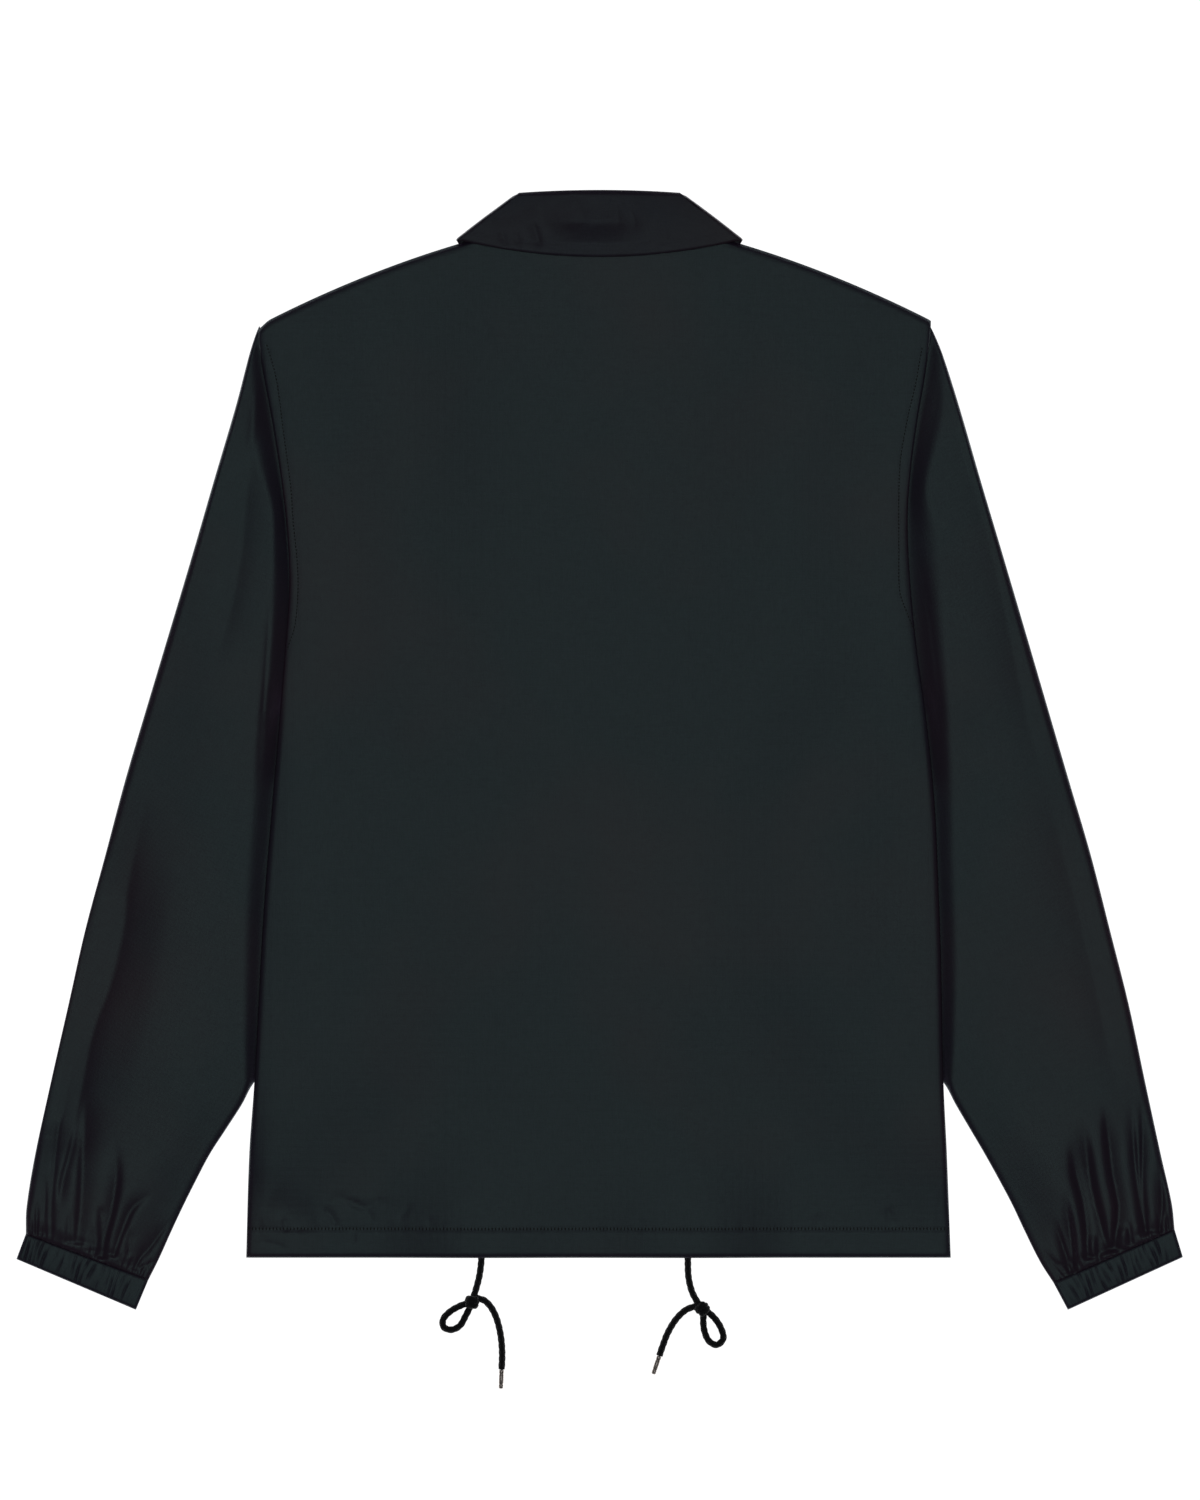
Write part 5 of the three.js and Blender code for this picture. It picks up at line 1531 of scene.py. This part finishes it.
# Columns: share of the radius, height over the floor.
CAP_PROFILE = (
    (0.0, 0.1), (0.3, 0.1), (0.62, 0.16), (0.7, 0.3), (0.78, 0.12), (0.92, 0.1), (1.0, 0.45), (1.0, 0.9),
    (0.96, 1.15), (0.0, 1.2),
)


def one_cap():
    """One cap, its profile turned round its middle."""
    turn = np.linspace(0, 2 * math.pi, CAP_SIDES, endpoint=False)
    rings = []
    for share, high in CAP_PROFILE:
        r = max(share, 0.01) * CAP_RADIUS
        rings.append(np.stack([r * np.cos(turn), r * np.sin(turn), np.full(CAP_SIDES, high)], -1))
    faces = grid_faces(len(rings), CAP_SIDES, True, True)
    count = len(rings) * CAP_SIDES
    faces += [list(range(CAP_SIDES)), list(range(count - CAP_SIDES, count))[::-1]]
    return new_object("snap_caps", np.array(rings).reshape(-1, 3), faces, painted)


def cap_tree():
    tree = bpy.data.node_groups.new("row of snap caps", "GeometryNodeTree")
    face = tree.interface
    face.new_socket("Geometry", in_out="INPUT", socket_type="NodeSocketGeometry")
    count = face.new_socket("Count", in_out="INPUT", socket_type="NodeSocketInt")
    count.default_value = SNAP_COUNT
    pitch = face.new_socket("Pitch", in_out="INPUT", socket_type="NodeSocketFloat")
    pitch.default_value = SNAP_PITCH * MM
    face.new_socket("Material", in_out="INPUT", socket_type="NodeSocketMaterial")
    face.new_socket("Geometry", in_out="OUTPUT", socket_type="NodeSocketGeometry")
    given = add_node(tree, "NodeGroupInput")
    down = add_node(tree, "ShaderNodeMath", {0: given.outputs["Pitch"], 1: -1.0}, operation="MULTIPLY")
    offset = add_node(tree, "ShaderNodeCombineXYZ", {"Y": down.outputs[0]})
    row = add_node(
        tree, "GeometryNodeMeshLine",
        {"Count": given.outputs["Count"], "Start Location": (0.0, SNAP_TOP * MM, 0.0),
         "Offset": offset.outputs["Vector"]},
    )
    placed = add_node(
        tree, "GeometryNodeInstanceOnPoints",
        {"Points": row.outputs["Mesh"], "Instance": given.outputs["Geometry"]},
    )
    real = add_node(tree, "GeometryNodeRealizeInstances", {"Geometry": placed.outputs["Instances"]})
    dressed = add_node(
        tree, "GeometryNodeSetMaterial",
        {"Geometry": real.outputs["Geometry"], "Material": given.outputs["Material"]},
    )
    add_node(tree, "NodeGroupOutput", {"Geometry": dressed.outputs["Geometry"]})
    return tree


caps = one_cap()
modifier = caps.modifiers.new("row", "NODES")
modifier.node_group = cap_tree()
set_input(modifier, "Count", SNAP_COUNT)
set_input(modifier, "Pitch", SNAP_PITCH * MM)
set_input(modifier, "Material", painted)
keep_result(caps)
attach(caps, "root")
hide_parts(*[f"snap_cap_{i + 1}" for i in range(SNAP_COUNT)])
print("snap caps:", SNAP_COUNT, "and", len(caps.data.polygons), "faces")

# %% Studs and eyelets
for name in [f"snap_stud_{i + 1}" for i in range(SNAP_COUNT)] + ["eyelet_left", "eyelet_right"]:
    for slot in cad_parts[name].material_slots:
        slot.material = nickel

# %% [markdown]
# The floor is plain white and glows by itself, as the bright ground of a catalogue picture does, so no
# shadow falls on it. One large soft light hangs over the middle of the jacket, beside the camera. All
# flat cloth mirrors it and looks slate grey, and each fold turns a strip of cloth away from it, which
# is what draws the folds. Lights from the sides would fill those strips, so there are none, and the
# world only keeps them from going black.

# %% Floor
FLOOR_SIZE = 8000.0
FLOOR_LEVEL = -0.3
half = FLOOR_SIZE / 2
floor_points = [(x, y, FLOOR_LEVEL) for x, y in ((-half, -half), (half, -half), (half, half), (-half, half))]
floor_material, floor_tree, floor_shader = new_material("white floor")
floor_shader.inputs["Base Color"].default_value = colour("#F6F6F6")
floor_shader.inputs["Roughness"].default_value = 0.9
floor_shader.inputs["Emission Color"].default_value = (1, 1, 1, 1)
floor_shader.inputs["Emission Strength"].default_value = 1.0
floor = new_object("floor", floor_points, [[0, 1, 2, 3]], floor_material)

# %% Light
LIGHT_PLACE = (0.05, 0.05, 9.2)
LIGHT_SIZE = 3.7
LIGHT_POWER = 58
WORLD_STRENGTH = 0.06

light_data = bpy.data.lights.new("overhead light", "AREA")
light_data.shape = "SQUARE"
light_data.size = LIGHT_SIZE
light_data.energy = LIGHT_POWER
light = bpy.data.objects.new("overhead light", light_data)
light.location = LIGHT_PLACE
light.rotation_euler = (-Vector(LIGHT_PLACE)).to_track_quat("-Z", "Y").to_euler()
bpy.context.scene.collection.objects.link(light)

world = bpy.data.worlds.new("studio")
world.use_nodes = True
background = world.node_tree.nodes["Background"]
background.inputs["Color"].default_value = (1, 1, 1, 1)
background.inputs["Strength"].default_value = WORLD_STRENGTH
bpy.context.scene.world = world
bpy.context.scene.view_settings.view_transform = "Standard"
print("light over the jacket in metres:", LIGHT_PLACE[2])
